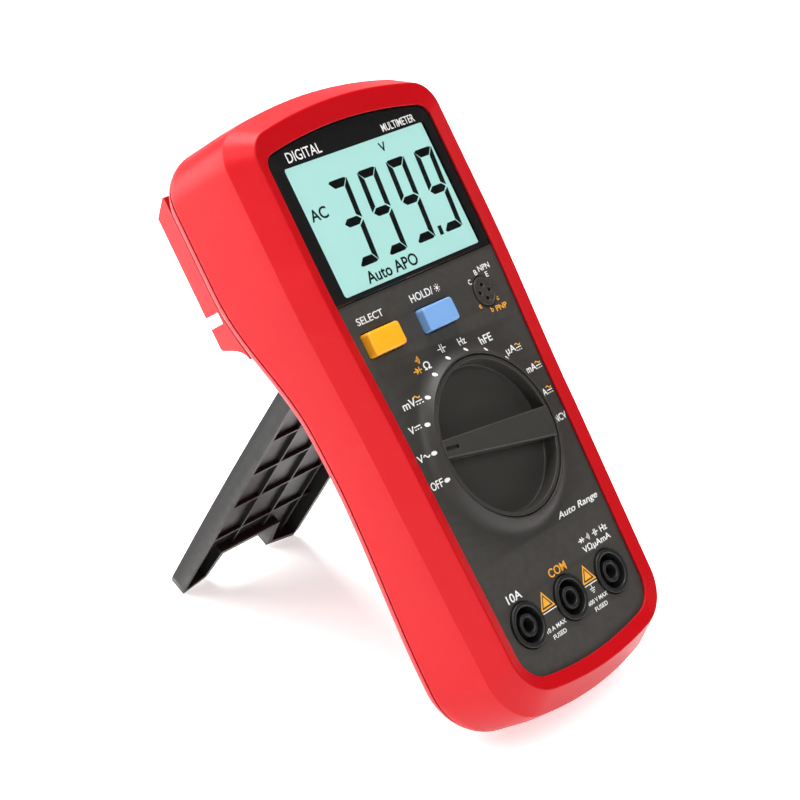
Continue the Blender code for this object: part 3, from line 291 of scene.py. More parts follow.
def moved(bm, x=0.0, y=0.0, z=0.0, turn=None):
    if turn:
        bmesh.ops.rotate(bm, verts=bm.verts, matrix=Matrix.Rotation(math.radians(turn[0]), 3, turn[1]))
    bmesh.ops.translate(bm, verts=bm.verts, vec=(x, y, z))
    return bm


def joinAll(pieces):
    whole = bmesh.new()
    for part in pieces:
        mesh = bpy.data.meshes.new("part")
        part.to_mesh(mesh)
        part.free()
        whole.from_mesh(mesh)
        bpy.data.meshes.remove(mesh)
    return whole


def holder(bm, name):
    mesh = bpy.data.meshes.new(name)
    bm.to_mesh(mesh)
    bm.free()
    obj = bpy.data.objects.new(name, mesh)
    bpy.context.scene.collection.objects.link(obj)
    return obj


def combine(base, operation, pieces, crossing=False):
    # A Boolean worked out at once; the helpers are gone afterwards.
    target, helper = holder(base, "target"), holder(joinAll(pieces), "helper")
    modifier = target.modifiers.new("combine", "BOOLEAN")
    modifier.operation = operation
    modifier.solver = "EXACT"
    modifier.use_self = crossing
    modifier.object = helper
    graph = bpy.context.evaluated_depsgraph_get()
    mesh = bpy.data.meshes.new_from_object(target.evaluated_get(graph))
    out = bmesh.new()
    out.from_mesh(mesh)
    for obj in (target, helper):
        data = obj.data
        bpy.data.objects.remove(obj)
        bpy.data.meshes.remove(data)
    bpy.data.meshes.remove(mesh)
    return out


def make(name, bm, looks, body, stands=(), place=bodyPlace, sharp=35):
    # Places the finished mesh in the row frame, gives it its materials and hangs it on its body.
    mesh = bpy.data.meshes.new(name)
    bm.to_mesh(mesh)
    bm.free()
    mesh.transform(place)
    mesh.shade_smooth()
    mesh.set_sharp_from_angle(angle=math.radians(sharp))
    for look in looks if isinstance(looks, (list, tuple)) else [looks]:
        mesh.materials.append(look)
    obj = bpy.data.objects.new(name, mesh)
    bpy.context.scene.collection.objects.link(obj)
    flats = obj.modifiers.new("flats", "WEIGHTED_NORMAL")
    flats.keep_sharp = True
    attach(obj, body)
    if stands:
        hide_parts(*stands)
    return obj


# Shader node groups: each is built once and used by many finishes.

def newGroup(name, inputs, outputs):
    group = bpy.data.node_groups.new(name, "ShaderNodeTree")
    for title, kind, value in inputs:
        socket = group.interface.new_socket(title, in_out="INPUT", socket_type=kind)
        socket.default_value = value
    for title, kind in outputs:
        group.interface.new_socket(title, in_out="OUTPUT", socket_type=kind)
    return group, group.nodes.new("NodeGroupInput"), group.nodes.new("NodeGroupOutput")


def node(tree, kind, at=(0, 0), **values):
    made = tree.nodes.new(kind)
    made.location = at
    for key, value in values.items():
        setattr(made, key, value)
    return made


def mathNode(tree, operation, first, second=None, clamp=False):
    made = node(tree, "ShaderNodeMath", operation=operation, use_clamp=clamp)
    for socket, value in zip(made.inputs, (first, second)):
        if isinstance(value, (int, float)):
            socket.default_value = value
        elif value is not None:
            tree.links.new(value, socket)
    return made.outputs[0]


def feed(tree, made, values):
    # Sets plain values and links the outputs that are given, by socket name.
    for title, value in values.items():
        socket = made.inputs[title]
        if isinstance(value, bpy.types.NodeSocket):
            tree.links.new(value, socket)
        else:
            socket.default_value = value
    return made


def noise(tree, vector, scale, detail=3.0, roughness=0.5):
    made = node(tree, "ShaderNodeTexNoise")
    return feed(tree, made, {"Vector": vector, "Scale": scale, "Detail": detail,
                             "Roughness": roughness}).outputs["Fac"]


def buildMouldGrain():
    # Spark-eroded mould texture: rounded pits with a finer tooth on them.
    group, enter, leave = newGroup(
        "mouldGrain",
        [("Vector", "NodeSocketVector", (0, 0, 0)), ("Scale", "NodeSocketFloat", 2500.0),
         ("Tooth", "NodeSocketFloat", 0.4)],
        [("Height", "NodeSocketFloat")])
    vector, scale = enter.outputs["Vector"], enter.outputs["Scale"]
    pits = node(group, "ShaderNodeTexVoronoi", feature="SMOOTH_F1")
    feed(group, pits, {"Vector": vector, "Scale": scale, "Smoothness": 1.0})
    tooth = noise(group, vector, mathNode(group, "MULTIPLY", scale, 1.7))
    share = mathNode(group, "MULTIPLY", tooth, enter.outputs["Tooth"])
    group.links.new(mathNode(group, "ADD", pits.outputs["Distance"], share), leave.inputs["Height"])
    return group


def swingOf(group, value, enter):
    # Turns 0 to 1 into minus to plus the amount.
    swing = mathNode(group, "MULTIPLY", mathNode(group, "SUBTRACT", value, 0.5), enter.outputs["Amount"])
    return mathNode(group, "MULTIPLY", swing, 2.0)


def buildToneDrift():
    # Slow change of tone over the surface with a little fine speckle.
    group, enter, leave = newGroup(
        "toneDrift",
        [("Vector", "NodeSocketVector", (0, 0, 0)), ("Colour", "NodeSocketColor", (0.5, 0.5, 0.5, 1)),
         ("Amount", "NodeSocketFloat", 0.06), ("Scale", "NodeSocketFloat", 25.0)],
        [("Colour", "NodeSocketColor")])
    vector, scale = enter.outputs["Vector"], enter.outputs["Scale"]
    broad = mathNode(group, "MULTIPLY", noise(group, vector, scale, 2.0), 0.7)
    speckle = mathNode(group, "MULTIPLY", noise(group, vector, mathNode(group, "MULTIPLY", scale, 60.0)), 0.3)
    value = mathNode(group, "ADD", swingOf(group, mathNode(group, "ADD", broad, speckle), enter), 1.0)
    tone = node(group, "ShaderNodeHueSaturation")
    feed(group, tone, {"Value": value, "Color": enter.outputs["Colour"]})
    group.links.new(tone.outputs["Color"], leave.inputs["Colour"])
    return group


def buildHandling():
    # Faint smears from handling: they only change how rough the surface is.
    group, enter, leave = newGroup(
        "handling",
        [("Vector", "NodeSocketVector", (0, 0, 0)), ("Roughness", "NodeSocketFloat", 0.45),
         ("Amount", "NodeSocketFloat", 0.08), ("Scale", "NodeSocketFloat", 60.0)],
        [("Roughness", "NodeSocketFloat")])
    stretch = node(group, "ShaderNodeMapping")
    feed(group, stretch, {"Vector": enter.outputs["Vector"], "Rotation": (0.4, 0.2, 0.9),
                          "Scale": (1.0, 2.6, 1.4)})
    smear = noise(group, stretch.outputs["Vector"], enter.outputs["Scale"], 4.0, 0.6)
    total = mathNode(group, "ADD", enter.outputs["Roughness"], swingOf(group, smear, enter), True)
    group.links.new(total, leave.inputs["Roughness"])
    return group


def buildEdgeWearHighlight():
    # A mask of the convex edges that rub first, broken up by noise; the lighter colour laid on it is partly
    # rubbed wear and partly a painted edge highlight.
    group, enter, leave = newGroup(
        "edgeWearHighlight",
        [("Vector", "NodeSocketVector", (0, 0, 0)), ("Amount", "NodeSocketFloat", 0.5)],
        [("Mask", "NodeSocketFloat")])
    shape = node(group, "ShaderNodeNewGeometry")
    edge = node(group, "ShaderNodeMapRange", interpolation_type="SMOOTHSTEP")
    feed(group, edge, {"Value": shape.outputs["Pointiness"], "From Min": 0.52, "From Max": 0.6})
    broken = noise(group, enter.outputs["Vector"], 420.0, 3.0)
    product = mathNode(group, "MULTIPLY", edge.outputs["Result"], broken)
    group.links.new(mathNode(group, "MULTIPLY", product, enter.outputs["Amount"], True), leave.inputs["Mask"])
    return group


effects = {"grain": buildMouldGrain(), "tone": buildToneDrift(), "handling": buildHandling(),
           "wearHighlight": buildEdgeWearHighlight()}


def useEffect(tree, effect, vector, **values):
    made = node(tree, "ShaderNodeGroup", node_tree=effects[effect])
    return feed(tree, made, {"Vector": vector, **values}).outputs[0]


# Moulded, printed and metal finishes: what most of them share, then what sets each apart.
# The lighter edge colour and its amount paint convex edges lighter: partly rubbed wear, partly painted edge
# highlight, strongest on the stand's ribs and rims.
everyFinish = {"drift": 0.05, "grain": 3000, "depth": 0.03, "smear": 0.08, "wearHighlight": 0.1, "specular": 0.5,
               "metal": 0.0}
finishes = {
    "softRed": {"colour": (0.48, 0.003, 0.007), "rough": 0.36, "grain": 2600, "depth": 0.05, "smear": 0.07,
                "wearHighlightColour": (0.65, 0.04, 0.04), "specular": 0.17},
    "hardRed": {"colour": (0.46, 0.005, 0.01), "rough": 0.34, "drift": 0.04, "grain": 3200, "smear": 0.09,
                "wearHighlight": 0.12, "wearHighlightColour": (0.85, 0.08, 0.08), "specular": 0.35},
    "panelGrey": {"colour": (0.034, 0.031, 0.0275), "rough": 0.5, "drift": 0.08, "grain": 3400,
                  "depth": 0.05, "smear": 0.07, "wearHighlight": 0.22, "wearHighlightColour": (0.14, 0.13, 0.12),
                  "specular": 0.35},
    "blackSatin": {"colour": (0.014, 0.0135, 0.013), "rough": 0.38, "drift": 0.08, "wearHighlight": 0.3,
                   "wearHighlightColour": (0.09, 0.09, 0.09), "specular": 0.4},
    "blackGloss": {"colour": (0.01, 0.0095, 0.01), "rough": 0.07, "grain": 900, "depth": 0.002,
                   "smear": 0.03, "wearHighlightColour": (0.2, 0.2, 0.2)},
    "standGrey": {"colour": (0.011, 0.011, 0.0105), "rough": 0.42, "drift": 0.07, "grain": 2800,
                  "depth": 0.06, "wearHighlight": 0.5, "wearHighlightColour": (0.14, 0.14, 0.135), "specular": 0.25},
    "yellowKey": {"colour": (0.95, 0.41, 0.015), "rough": 0.33, "drift": 0.03, "depth": 0.02, "smear": 0.07,
                  "wearHighlight": 0.2, "wearHighlightColour": (1, 0.62, 0.15), "specular": 0.45},
    "blueKey": {"colour": (0.19, 0.37, 0.7), "rough": 0.33, "drift": 0.03, "depth": 0.02, "smear": 0.07,
                "wearHighlight": 0.3, "wearHighlightColour": (0.4, 0.6, 0.95), "specular": 0.45},
    "rubberGrey": {"colour": (0.09, 0.09, 0.095), "rough": 0.7, "drift": 0.1, "grain": 1800, "depth": 0.06,
                   "smear": 0.06, "wearHighlightColour": (0.2, 0.2, 0.2), "specular": 0.3},
    "lightGuide": {"colour": (0.84, 0.87, 0.85), "rough": 0.3, "drift": 0.02, "grain": 2000, "smear": 0.04,
                   "wearHighlightColour": (0.9, 0.9, 0.9)},
    "redLead": {"colour": (0.5, 0.012, 0.01), "rough": 0.4, "wearHighlightColour": (0.7, 0.1, 0.1)},
    "fuseWhite": {"colour": (0.74, 0.71, 0.62), "rough": 0.28, "grain": 2200, "depth": 0.02, "smear": 0.06,
                  "wearHighlightColour": (0.8, 0.8, 0.75)},
    "whiteInk": {"colour": (0.82, 0.82, 0.8), "rough": 0.42, "drift": 0.06, "grain": 5200, "depth": 0.02,
                 "smear": 0.05, "wearHighlight": 0.0, "specular": 0.4},
    "amberInk": {"colour": (0.9, 0.4, 0.035), "rough": 0.42, "drift": 0.06, "grain": 5200, "depth": 0.02,
                 "smear": 0.05, "wearHighlight": 0.0, "specular": 0.4},
    "segmentInk": {"colour": (0.003, 0.004, 0.005), "rough": 0.3, "grain": 4000, "depth": 0.004,
                   "smear": 0.03, "wearHighlight": 0.0, "specular": 0.3},
    "brass": {"colour": (0.79, 0.57, 0.27), "rough": 0.26, "drift": 0.1, "grain": 1500, "depth": 0.02,
              "smear": 0.12, "wearHighlight": 0.4, "wearHighlightColour": (0.95, 0.8, 0.5), "metal": 1.0},
    "zincSteel": {"colour": (0.6, 0.6, 0.61), "rough": 0.3, "drift": 0.1, "grain": 1400, "smear": 0.12,
                  "wearHighlight": 0.4, "wearHighlightColour": (0.85, 0.85, 0.85), "metal": 1.0},
}


def startMaterial(name):
    material = bpy.data.materials.new(name)
    material.use_nodes = True
    tree = material.node_tree
    shader = tree.nodes["Principled BSDF"]
    spots = node(tree, "ShaderNodeTexCoord", (-1400, 0))
    return material, tree, shader, spots.outputs["Object"]


def blended(tree, mask, under, over):
    made = node(tree, "ShaderNodeMix", (-500, 200), data_type="RGBA")
    tree.links.new(mask, made.inputs[0])
    tree.links.new(under, made.inputs[6])
    made.inputs[7].default_value = (*over, 1)
    return made.outputs[2]


def relief(tree, height, strength):
    bump = node(tree, "ShaderNodeBump", (-300, -300))
    return feed(tree, bump, {"Height": height, "Strength": strength, "Distance": 0.0001}).outputs["Normal"]


def finish(name):
    look = {**everyFinish, **finishes[name]}
    material, tree, shader, spots = startMaterial(name)
    colour = useEffect(tree, "tone", spots, Colour=(*look["colour"], 1), Amount=look["drift"])
    # Convex edges get a lighter colour here: partly rubbed wear, partly painted edge highlight.
    if look["wearHighlight"]:
        wearHighlight = useEffect(tree, "wearHighlight", spots, Amount=look["wearHighlight"])
        colour = blended(tree, wearHighlight, colour, look["wearHighlightColour"])
    grain = useEffect(tree, "grain", spots, Scale=float(look["grain"]))
    marks = useEffect(tree, "handling", spots, Roughness=look["rough"], Amount=look["smear"])
    feed(tree, shader, {"Base Color": colour, "Roughness": marks, "Metallic": look["metal"],
                        "Specular IOR Level": look["specular"],
                        "Normal": relief(tree, grain, min(1.0, look["depth"] * 4))})
    return material


glow = {"colour": (0.46, 0.80, 0.755), "strength": 0.98, "unevenness": 0.05}


def litDisplay():
    # Pale cyan crystal over a light guide: nearly even, with a slight random unevenness.
    material, tree, shader, spots = startMaterial("litDisplay")
    lit = useEffect(tree, "tone", spots, Colour=(*glow["colour"], 1), Amount=glow["unevenness"], Scale=40.0)
    dim = useEffect(tree, "tone", spots, Colour=(0.10, 0.17, 0.16, 1), Amount=0.03)
    marks = useEffect(tree, "handling", spots, Roughness=0.3, Amount=0.04)
    feed(tree, shader, {"Emission Color": lit, "Emission Strength": glow["strength"], "Base Color": dim,
                        "Roughness": marks})
    return material


def clearAcrylic():
    material, tree, shader, spots = startMaterial("clearAcrylic")
    marks = useEffect(tree, "handling", spots, Roughness=0.015, Amount=0.012, Scale=90.0)
    feed(tree, shader, {"Base Color": (0.97, 0.985, 0.98, 1), "Transmission Weight": 1.0, "IOR": 1.49,
                        "Roughness": marks})
    return material


def circuitBoard():
    # Green solder mask over copper: tracks on a fine grid.
    material, tree, shader, spots = startMaterial("circuitBoard")
    mask = useEffect(tree, "tone", spots, Colour=(0.012, 0.14, 0.045, 1), Amount=0.12)
    bricks = node(tree, "ShaderNodeTexBrick", (-900, 0))
    feed(tree, bricks, {"Vector": spots, "Scale": 260.0, "Mortar Size": 0.07, "Mortar Smooth": 0.2,
                        "Brick Width": 0.9, "Color1": (0, 0, 0, 1), "Color2": (0, 0, 0, 1),
                        "Mortar": (1, 1, 1, 1)})
    tracks = bricks.outputs["Color"]
    marks = useEffect(tree, "handling", spots, Roughness=0.32, Amount=0.08)
    feed(tree, shader, {"Base Color": blended(tree, tracks, mask, (0.03, 0.26, 0.09)), "Roughness": marks,
                        "Normal": relief(tree, tracks, 0.3)})
    return material


def batteryJacket():
    # Printed metal jacket: black with one copper-coloured end band.
    material, tree, shader, spots = startMaterial("batteryJacket")
    low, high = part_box("battery")
    parts = node(tree, "ShaderNodeSeparateXYZ", (-1100, 200))
    tree.links.new(spots, parts.inputs[0])
    band = mathNode(tree, "GREATER_THAN", parts.outputs["X"], low.x + 0.68 * (high.x - low.x))
    black = useEffect(tree, "tone", spots, Colour=(0.03, 0.03, 0.035, 1), Amount=0.06)
    marks = useEffect(tree, "handling", spots, Roughness=0.3, Amount=0.1)
    feed(tree, shader, {"Base Color": blended(tree, band, black, (0.55, 0.27, 0.11)), "Roughness": marks,
                        "Metallic": 0.6})
    return material


looks = {name: finish(name) for name in finishes}
looks.update(litDisplay=litDisplay(), clearAcrylic=clearAcrylic(), circuitBoard=circuitBoard(),
             batteryJacket=batteryJacket())
print("stage 2: finishes ready")

# Bezel: lip, sloped face, chamfer and side wall; sides are insets from the widest outline.
bezel = {"line": [(7.1, 0.3), (7.1, 0.88), (3.35, 1.98), (0.3, -6.5), (0, -12)], "rounding": (0.3, 0.5, 1.3),
         "wall": 2.4, "inner": 4.8, "seamRound": 0.3}


def bezelShell():
    rings = [level(side, height) for side, height in rounded(bezel["line"], bezel["rounding"])]
    start = case["backRound"] - case["endRound"]
    soft = bezel["seamRound"]
    for side, depth in ((0, start), (0, start * 0.75), (0, start * 0.5), (0, start * 0.25), (0, -soft),
                        (soft * 0.3, -soft * 0.3), (soft, 0)):
        rings.append(level(side, lambda y, d=depth: parting(y) - d, [endRound(depth) + side] * 2))
    rings += [level(bezel["wall"], parting, [stop + endRound(0) for stop in ends(bezel["wall"])]),
              level(bezel["wall"], -6.9), level(bezel["inner"], -2.9), level(bezel["inner"], 0.3)]
    return loft(rings, closed=True)


make("bezelShell", bezelShell(), looks["softRed"], "meter", ["bezel_overmould"])

# Front case: plate, skirt, holes and the coved collar round the dial.
panel = {"edge": 5.1, "inside": 6.9, "plate": 2.6, "lensOutline": 6.8, "lensLow": 94.2, "lensFloor": -1.35,
         "window": (-28.1, 29.55, 95.56, 132.75), "socket": (22, 83, 4.5), "buttonHole": (6.6, 3.625, 0.7),
         "jackHole": 6.5}
collar = {"outer": 27.6, "inner": 22.6, "height": 2.6, "run": 4.5, "bend": 2.6, "well": -4.7}
keys = {"select": -22.3, "hold": 0.0, "y": 82.425}
jackSpots = (-19, 0, 19)


def collarHeight(x, y):
    # Height of the printed surface: flat panel, rising in a cove towards the dial.
    near = (collar["outer"] - math.hypot(x, y - dialSpot["y"])) / collar["run"]
    return collar["height"] * min(max(near, 0.0), 1.0) ** collar["bend"]


def dialCollar():
    steps = 14
    cove = [(collar["outer"] - collar["run"] * k / steps, collar["height"] * (k / steps) ** collar["bend"])
            for k in range(1, steps + 1)]
    inner, top = collar["inner"], collar["height"]
    lip = rounded([cove[-1], (inner, top), (inner, collar["well"])], (0.28,))[1:]
    profile = ([(28.0, -0.25), (27.6, 0.0)] + cove + lip
               + [(8.3, -4.7), (8.3, -6.3), (24.2, -6.3), (24.2, -1.5), (28.0, -1.5)])
    return moved(lathe(profile, 128), y=dialSpot["y"])


def frontPanel():
    edge, inside = panel["edge"], panel["inside"]

    def skirt(y):
        return parting(y) + 1

    shell = loft([level(edge, 0), level(edge, skirt), level(inside, skirt), level(inside, -panel["plate"])])
    side = panel["lensOutline"]
    recess = cutBelow(halfOutline(side, *ends(side)), panel["lensLow"])
    cuts = [loft([ring(recess, panel["lensFloor"]), ring(recess, 1)], flatCaps=True),
            moved(cylinder(23.4, -60, 60, 128), y=dialSpot["y"])]
    x, y, radius = panel["socket"]
    cuts.append(moved(cylinder(radius, -60, 60, 48), x, y))
    cuts += [moved(prism(roundRect(*panel["buttonHole"]), -10, 10), x, keys["y"])
             for x in (keys["select"], keys["hold"])]
    cuts += [moved(cylinder(panel["jackHole"], -5, 60, 64), x) for x in jackSpots]
    shell = combine(shell, "DIFFERENCE", cuts)
    left, right, low, high = panel["window"]
    shell = combine(shell, "DIFFERENCE", [block(((left + right) / 2, (low + high) / 2, 0),
                                                (right - left, high - low, 12))])
    return combine(shell, "UNION", [dialCollar()])


make("frontPanel", frontPanel(), looks["panelGrey"], "meter", ["front_case"])

# Lens: one slab, black from behind round a clear window.
lens = {"side": 7.4, "low": 94.5, "base": -1.05, "top": 0.1, "round": 0.22,
        "window": (-27.6, 29.4, 95.9, 132.3), "corner": 0.9}


def displayLens():
    outline = cutBelow(halfOutline(lens["side"], *ends(lens["side"])), lens["low"])
    left, right, low, high = lens["window"]
    hole = roundRect((right - left) / 2, (high - low) / 2, lens["corner"],
                     centre=((left + right) / 2, (low + high) / 2))
    inset = lens["round"]
    small = cutBelow(halfOutline(lens["side"] + inset, *[e + inset for e in ends(lens["side"])]),
                     lens["low"] + inset)
    bm = bmesh.new()
    rows = []
    for points, height in ((small, lens["base"]), (outline, lens["base"] + inset),
                           (outline, lens["top"] - inset), (small, lens["top"])):
        rows.append([bm.verts.new(p) for p in ring(points, height)])
    for row, after in zip(rows, rows[1:]):
        for i in range(len(row)):
            j = (i + 1) % len(row)
            bm.faces.new((row[i], row[j], after[j], after[i]))
    panes = []
    for row, height in ((rows[0], lens["base"]), (rows[-1], lens["top"])):
        loop = [bm.verts.new((x, y, height)) for x, y in hole]
        rim = [bm.edges.new((a, b)) for a, b in zip(loop, loop[1:] + loop[:1])]
        border = [bm.edges.get((a, b)) for a, b in zip(row, row[1:] + row[:1])]
        bmesh.ops.triangle_fill(bm, use_beauty=True, edges=border + rim)
        panes.append(bm.faces.new(loop))
    outward(bm)
    for pane in panes:
        pane.material_index = 1
    return bm


make("displayLens", displayLens(), [looks["blackGloss"], looks["clearAcrylic"]], "meter", ["display_lens"])

# Display: the glass stack with a lit face just behind the lens, and the dark segments on it.
display = {"glass": (-29.1, 29.1, 94.56, 133.75), "base": -4.9, "step": -2.9,
           "face": (-28.05, 29.5, 95.62, 132.69), "level": -1.37}


def displayStack():
    slabs = []
    for (left, right, low, high), base, top in ((display["glass"], display["base"], display["step"]),
                                                (display["face"], display["step"] - 0.2, display["level"])):
        slabs.append(block(((left + right) / 2, (low + high) / 2, (base + top) / 2),
                           (right - left, high - low, top - base)))
    return combine(slabs[0], "UNION", slabs[1:])


make("displayFace", displayStack(), looks["litDisplay"], "meter", ["lcd_glass"])

# Digits: seven segments each, leaning to the right.
digits = {"shown": "3999", "left": (-16.7, -4.9, 7.1, 19.0), "low": 101.75, "high": 125.5, "width": 7.6,
          "lean": 0.095, "bar": 2.3, "post": 1.85, "cut": 0.22, "point": (17.6, 102.95, 1.5, 2.6)}
segmentsOf = {"0": "abcdef", "1": "bc", "2": "abdeg", "3": "abcdg", "4": "bcfg", "5": "acdfg", "6": "acdefg",
              "7": "abc", "8": "abcdefg", "9": "abcdfg"}


def segmentShapes():
    wide, tall = digits["width"], digits["high"] - digits["low"]
    bar, post, cut = digits["bar"], digits["post"], digits["cut"]
    middle = tall / 2
    return {
        "a": [(0.3, tall - 0.5), (0.9, tall), (wide - 1.2, tall), (wide - 0.35, tall - 0.35),
              (wide - post - cut, tall - bar), (post + cut, tall - bar)],
        "d": [(post + cut, bar), (wide - post - cut, bar), (wide - 0.35, 0.35), (wide - 1.2, 0), (0.9, 0),
              (0.3, 0.5)],
        "g": [(cut * 2, middle), (post, middle + bar / 2), (wide - post, middle + bar / 2),
              (wide - cut * 2, middle), (wide - post, middle - bar / 2), (post, middle - bar / 2)],
        "f": [(0, tall - cut), (post, tall - bar - cut), (post, middle + bar / 2 + cut * 2),
              (0, middle + cut * 1.4)],
        "b": [(wide, tall - cut), (wide, middle + cut * 1.4), (wide - post, middle + bar / 2 + cut * 2),
              (wide - post, tall - bar - cut)],
        "e": [(0, cut), (0, middle - cut * 1.4), (post, middle - bar / 2 - cut * 2), (post, bar + cut)],
        "c": [(wide, cut), (wide - post, bar + cut), (wide - post, middle - bar / 2 - cut * 2),
              (wide, middle - cut * 1.4)],
    }


def flat(points):
    bm = bmesh.new()
    bm.faces.new([bm.verts.new((x, y, 0)) for x, y in points])
    return bm


def stroke(points, width, closed=False):
    # A flat ribbon along a line, mitred at its corners.
    line = [Vector(p) for p in points]
    count = len(line)
    bm = bmesh.new()
    pairs = []
    for i, here in enumerate(line):
        before = line[i - 1] if i or closed else None
        after = line[(i + 1) % count] if i < count - 1 or closed else None
        into = (here - before).normalized() if before is not None else (after - here).normalized()
        out = (after - here).normalized() if after is not None else into
        side = Vector((-(into.y + out.y), into.x + out.x)).normalized()
        reach = width / 2 / max(0.4, abs(side.dot(Vector((-into.y, into.x)))))
        pairs.append([bm.verts.new((*(here + side * way * reach), 0)) for way in (-1, 1)])
    for a, b in zip(pairs, pairs[1:] + (pairs[:1] if closed else [])):
        bm.faces.new((a[0], b[0], b[1], a[1]))
    return bm


def disc(x, y, radius, steps=24):
    return flat(arc((x, y), radius, [2 * math.pi * k / steps for k in range(steps)]))


def lettering(words, box, weight=0.012, lean=0.0, fit=True):
    # Words set in the built-in face, scaled to fill a box (left, right, low, high).
    curve = bpy.data.curves.new("words", "FONT")
    curve.body = words
    curve.offset = weight
    curve.shear = lean
    curve.resolution_u = 4
    obj = bpy.data.objects.new("words", curve)
    bpy.context.scene.collection.objects.link(obj)
    mesh = bpy.data.meshes.new_from_object(obj.evaluated_get(bpy.context.evaluated_depsgraph_get()))
    bm = bmesh.new()
    bm.from_mesh(mesh)
    bpy.data.objects.remove(obj)
    bpy.data.curves.remove(curve)
    bpy.data.meshes.remove(mesh)
    xs, ys = [v.co.x for v in bm.verts], [v.co.y for v in bm.verts]
    left, right, low, high = box
    tall = (high - low) / (max(ys) - min(ys))
    wide = (right - left) / (max(xs) - min(xs)) if fit else tall
    for v in bm.verts:
        v.co = (left + (v.co.x - min(xs)) * wide, low + (v.co.y - min(ys)) * tall, 0)
    return bm


def printed(name, flats, look, height, thick=0.04, sink=0.03, grid=0.6):
    # Ink: flat shapes cut fine enough to follow the surface, then given a little thickness.
    bm = joinAll(flats)
    bmesh.ops.remove_doubles(bm, verts=bm.verts, dist=0.0005)
    if callable(height):
        spread = collar["outer"]
        for axis, centre in ((0, 0), (1, dialSpot["y"])):
            for k in range(int(-spread / grid), int(spread / grid) + 1):
                normal, spot = [0, 0, 0], [0, 0, 0]
                normal[axis], spot[axis] = 1, centre + k * grid
                geometry = bm.verts[:] + bm.edges[:] + bm.faces[:]
                bmesh.ops.bisect_plane(bm, geom=geometry, plane_co=spot, plane_no=normal, dist=0.0002)
    rule = height if callable(height) else lambda x, y: height
    bmesh.ops.recalc_face_normals(bm, faces=bm.faces)
    for face in bm.faces:
        if face.normal.z < 0:
            face.normal_flip()
    grown = bmesh.ops.extrude_face_region(bm, geom=bm.faces[:])["geom"]
    upper = {g for g in grown if isinstance(g, bmesh.types.BMVert)}
    for v in bm.verts:
        v.co.z = rule(v.co.x, v.co.y) + (thick if v in upper else -sink)
    outward(bm)
    return make(name, bm, look, "meter", ())


def displayInk():
    shapes = segmentShapes()
    flats = []
    for shown, left in zip(digits["shown"], digits["left"]):
        for segment in segmentsOf[shown]:
            points = [(left + x + digits["lean"] * y, digits["low"] + y) for x, y in shapes[segment]]
            flats.append(flat(points))
    x, y, wide, tall = digits["point"]
    lean = digits["lean"] * tall / 2
    flats.append(flat([(x - wide / 2 - lean, y - tall / 2), (x + wide / 2 - lean, y - tall / 2),
                       (x + wide / 2 + lean, y + tall / 2), (x - wide / 2 + lean, y + tall / 2)]))
    flats += [lettering("AC", (-25.4, -18.9, 117, 120.3), 0.018),
              lettering("Auto APO", (-16.4, 4.3, 96.9, 100.3), 0.018),
              lettering("V", (9.6, 12.3, 128.2, 130.8), 0.022)]
    return flats


printed("displayInk", displayInk(), looks["segmentInk"], display["level"], 0.03, 0.01)
print("stage 3: bezel, panel and display")

# Dial: a dished disc with a bar across it; x points along the pointer.
dial = {"rim": 22.3, "wall": 1.2, "floor": -1.9, "top": 2.3, "barTop": 2.75, "narrow": 2.5, "wide": 4.375,
        "barReach": 21.95, "slot": (18.8, 2.5, 0.5, 0.75)}


def barOutline(inset):
    reach = dial["barReach"] - inset
    points = []
    for centre, half in ((0, dial["narrow"] - inset), (math.pi, dial["wide"] - inset)):
        spread = math.asin(half / reach)
        points += arc((0, 0), reach, [centre + spread * k / 6 for k in range(-6, 7)])
    return points


def rotaryKnob():
    rim, wall = dial["rim"], dial["wall"]
    inner = rim - wall
    dish = rounded([(0, dial["floor"]), (inner - 0.35, dial["floor"]), (inner, dial["top"]),
                    (rim, dial["top"]), (rim, -4.4)], (0.6, 0.3, 0.35))
    body = lathe(dish + [(8, -4.4), (8, -8), (0, -8)], 128)
    rings = [[(x, y, z) for x, y in barOutline(inset)] for inset, z in (
        (-0.02, dial["floor"] - 1), (-0.02, dial["floor"] + 0.5), (0.06, dial["barTop"] - 0.5),
        (0.16, dial["barTop"] - 0.2), (0.32, dial["barTop"] - 0.05), (0.55, dial["barTop"]))]
    knob = combine(body, "UNION", [loft(rings, flatCaps=True)])
    x, half, wide, depth = dial["slot"]
    slot = moved(prism(roundRect(half, wide, 0.3), dial["barTop"] - depth, dial["barTop"] + 1), x)
    return combine(knob, "DIFFERENCE", [slot])


make("rotaryKnob", rotaryKnob(), looks["panelGrey"], "dial", ["rotary_knob"], dialPlace)

# Push keys: rounded corners, a soft top edge and a flange under the panel.
keyShape = {"half": (6.3, 3.325), "corner": 0.9, "top": 2.6, "round": 0.75, "draft": 0.15, "flange": 0.7,
            "stemFoot": -6.5}


def keyCap():
    (halfX, halfY), flange = keyShape["half"], keyShape["flange"]
    draft, top = keyShape["draft"], keyShape["top"]
    line = [(-flange, -3.8), (-flange, -2.9), (0, -2.9), (0, 0)] + rounded(
        [(0.02, 0.2), (draft, top), (2, top + 0.08)], (keyShape["round"],), 6)[1:]
    rings = []
    for inset, z in line:
        corner = max(0.3, keyShape["corner"] - 0.2 * inset)
        rings.append([(x, y, z) for x, y in roundRect(halfX - inset, halfY - inset, corner)])
    stem = block((0, 0, (keyShape["stemFoot"] - 3.4) / 2), (3, 3, -3.4 - keyShape["stemFoot"]))
    return combine(loft(rings, flatCaps=True), "UNION", [stem])


for word, colour in (("select", "yellow"), ("hold", "blue")):
    make(f"{word}Key", moved(keyCap(), keys[word], keys["y"]), looks[f"{colour}Key"], f"{word}_key",
         [f"{word}_button"])

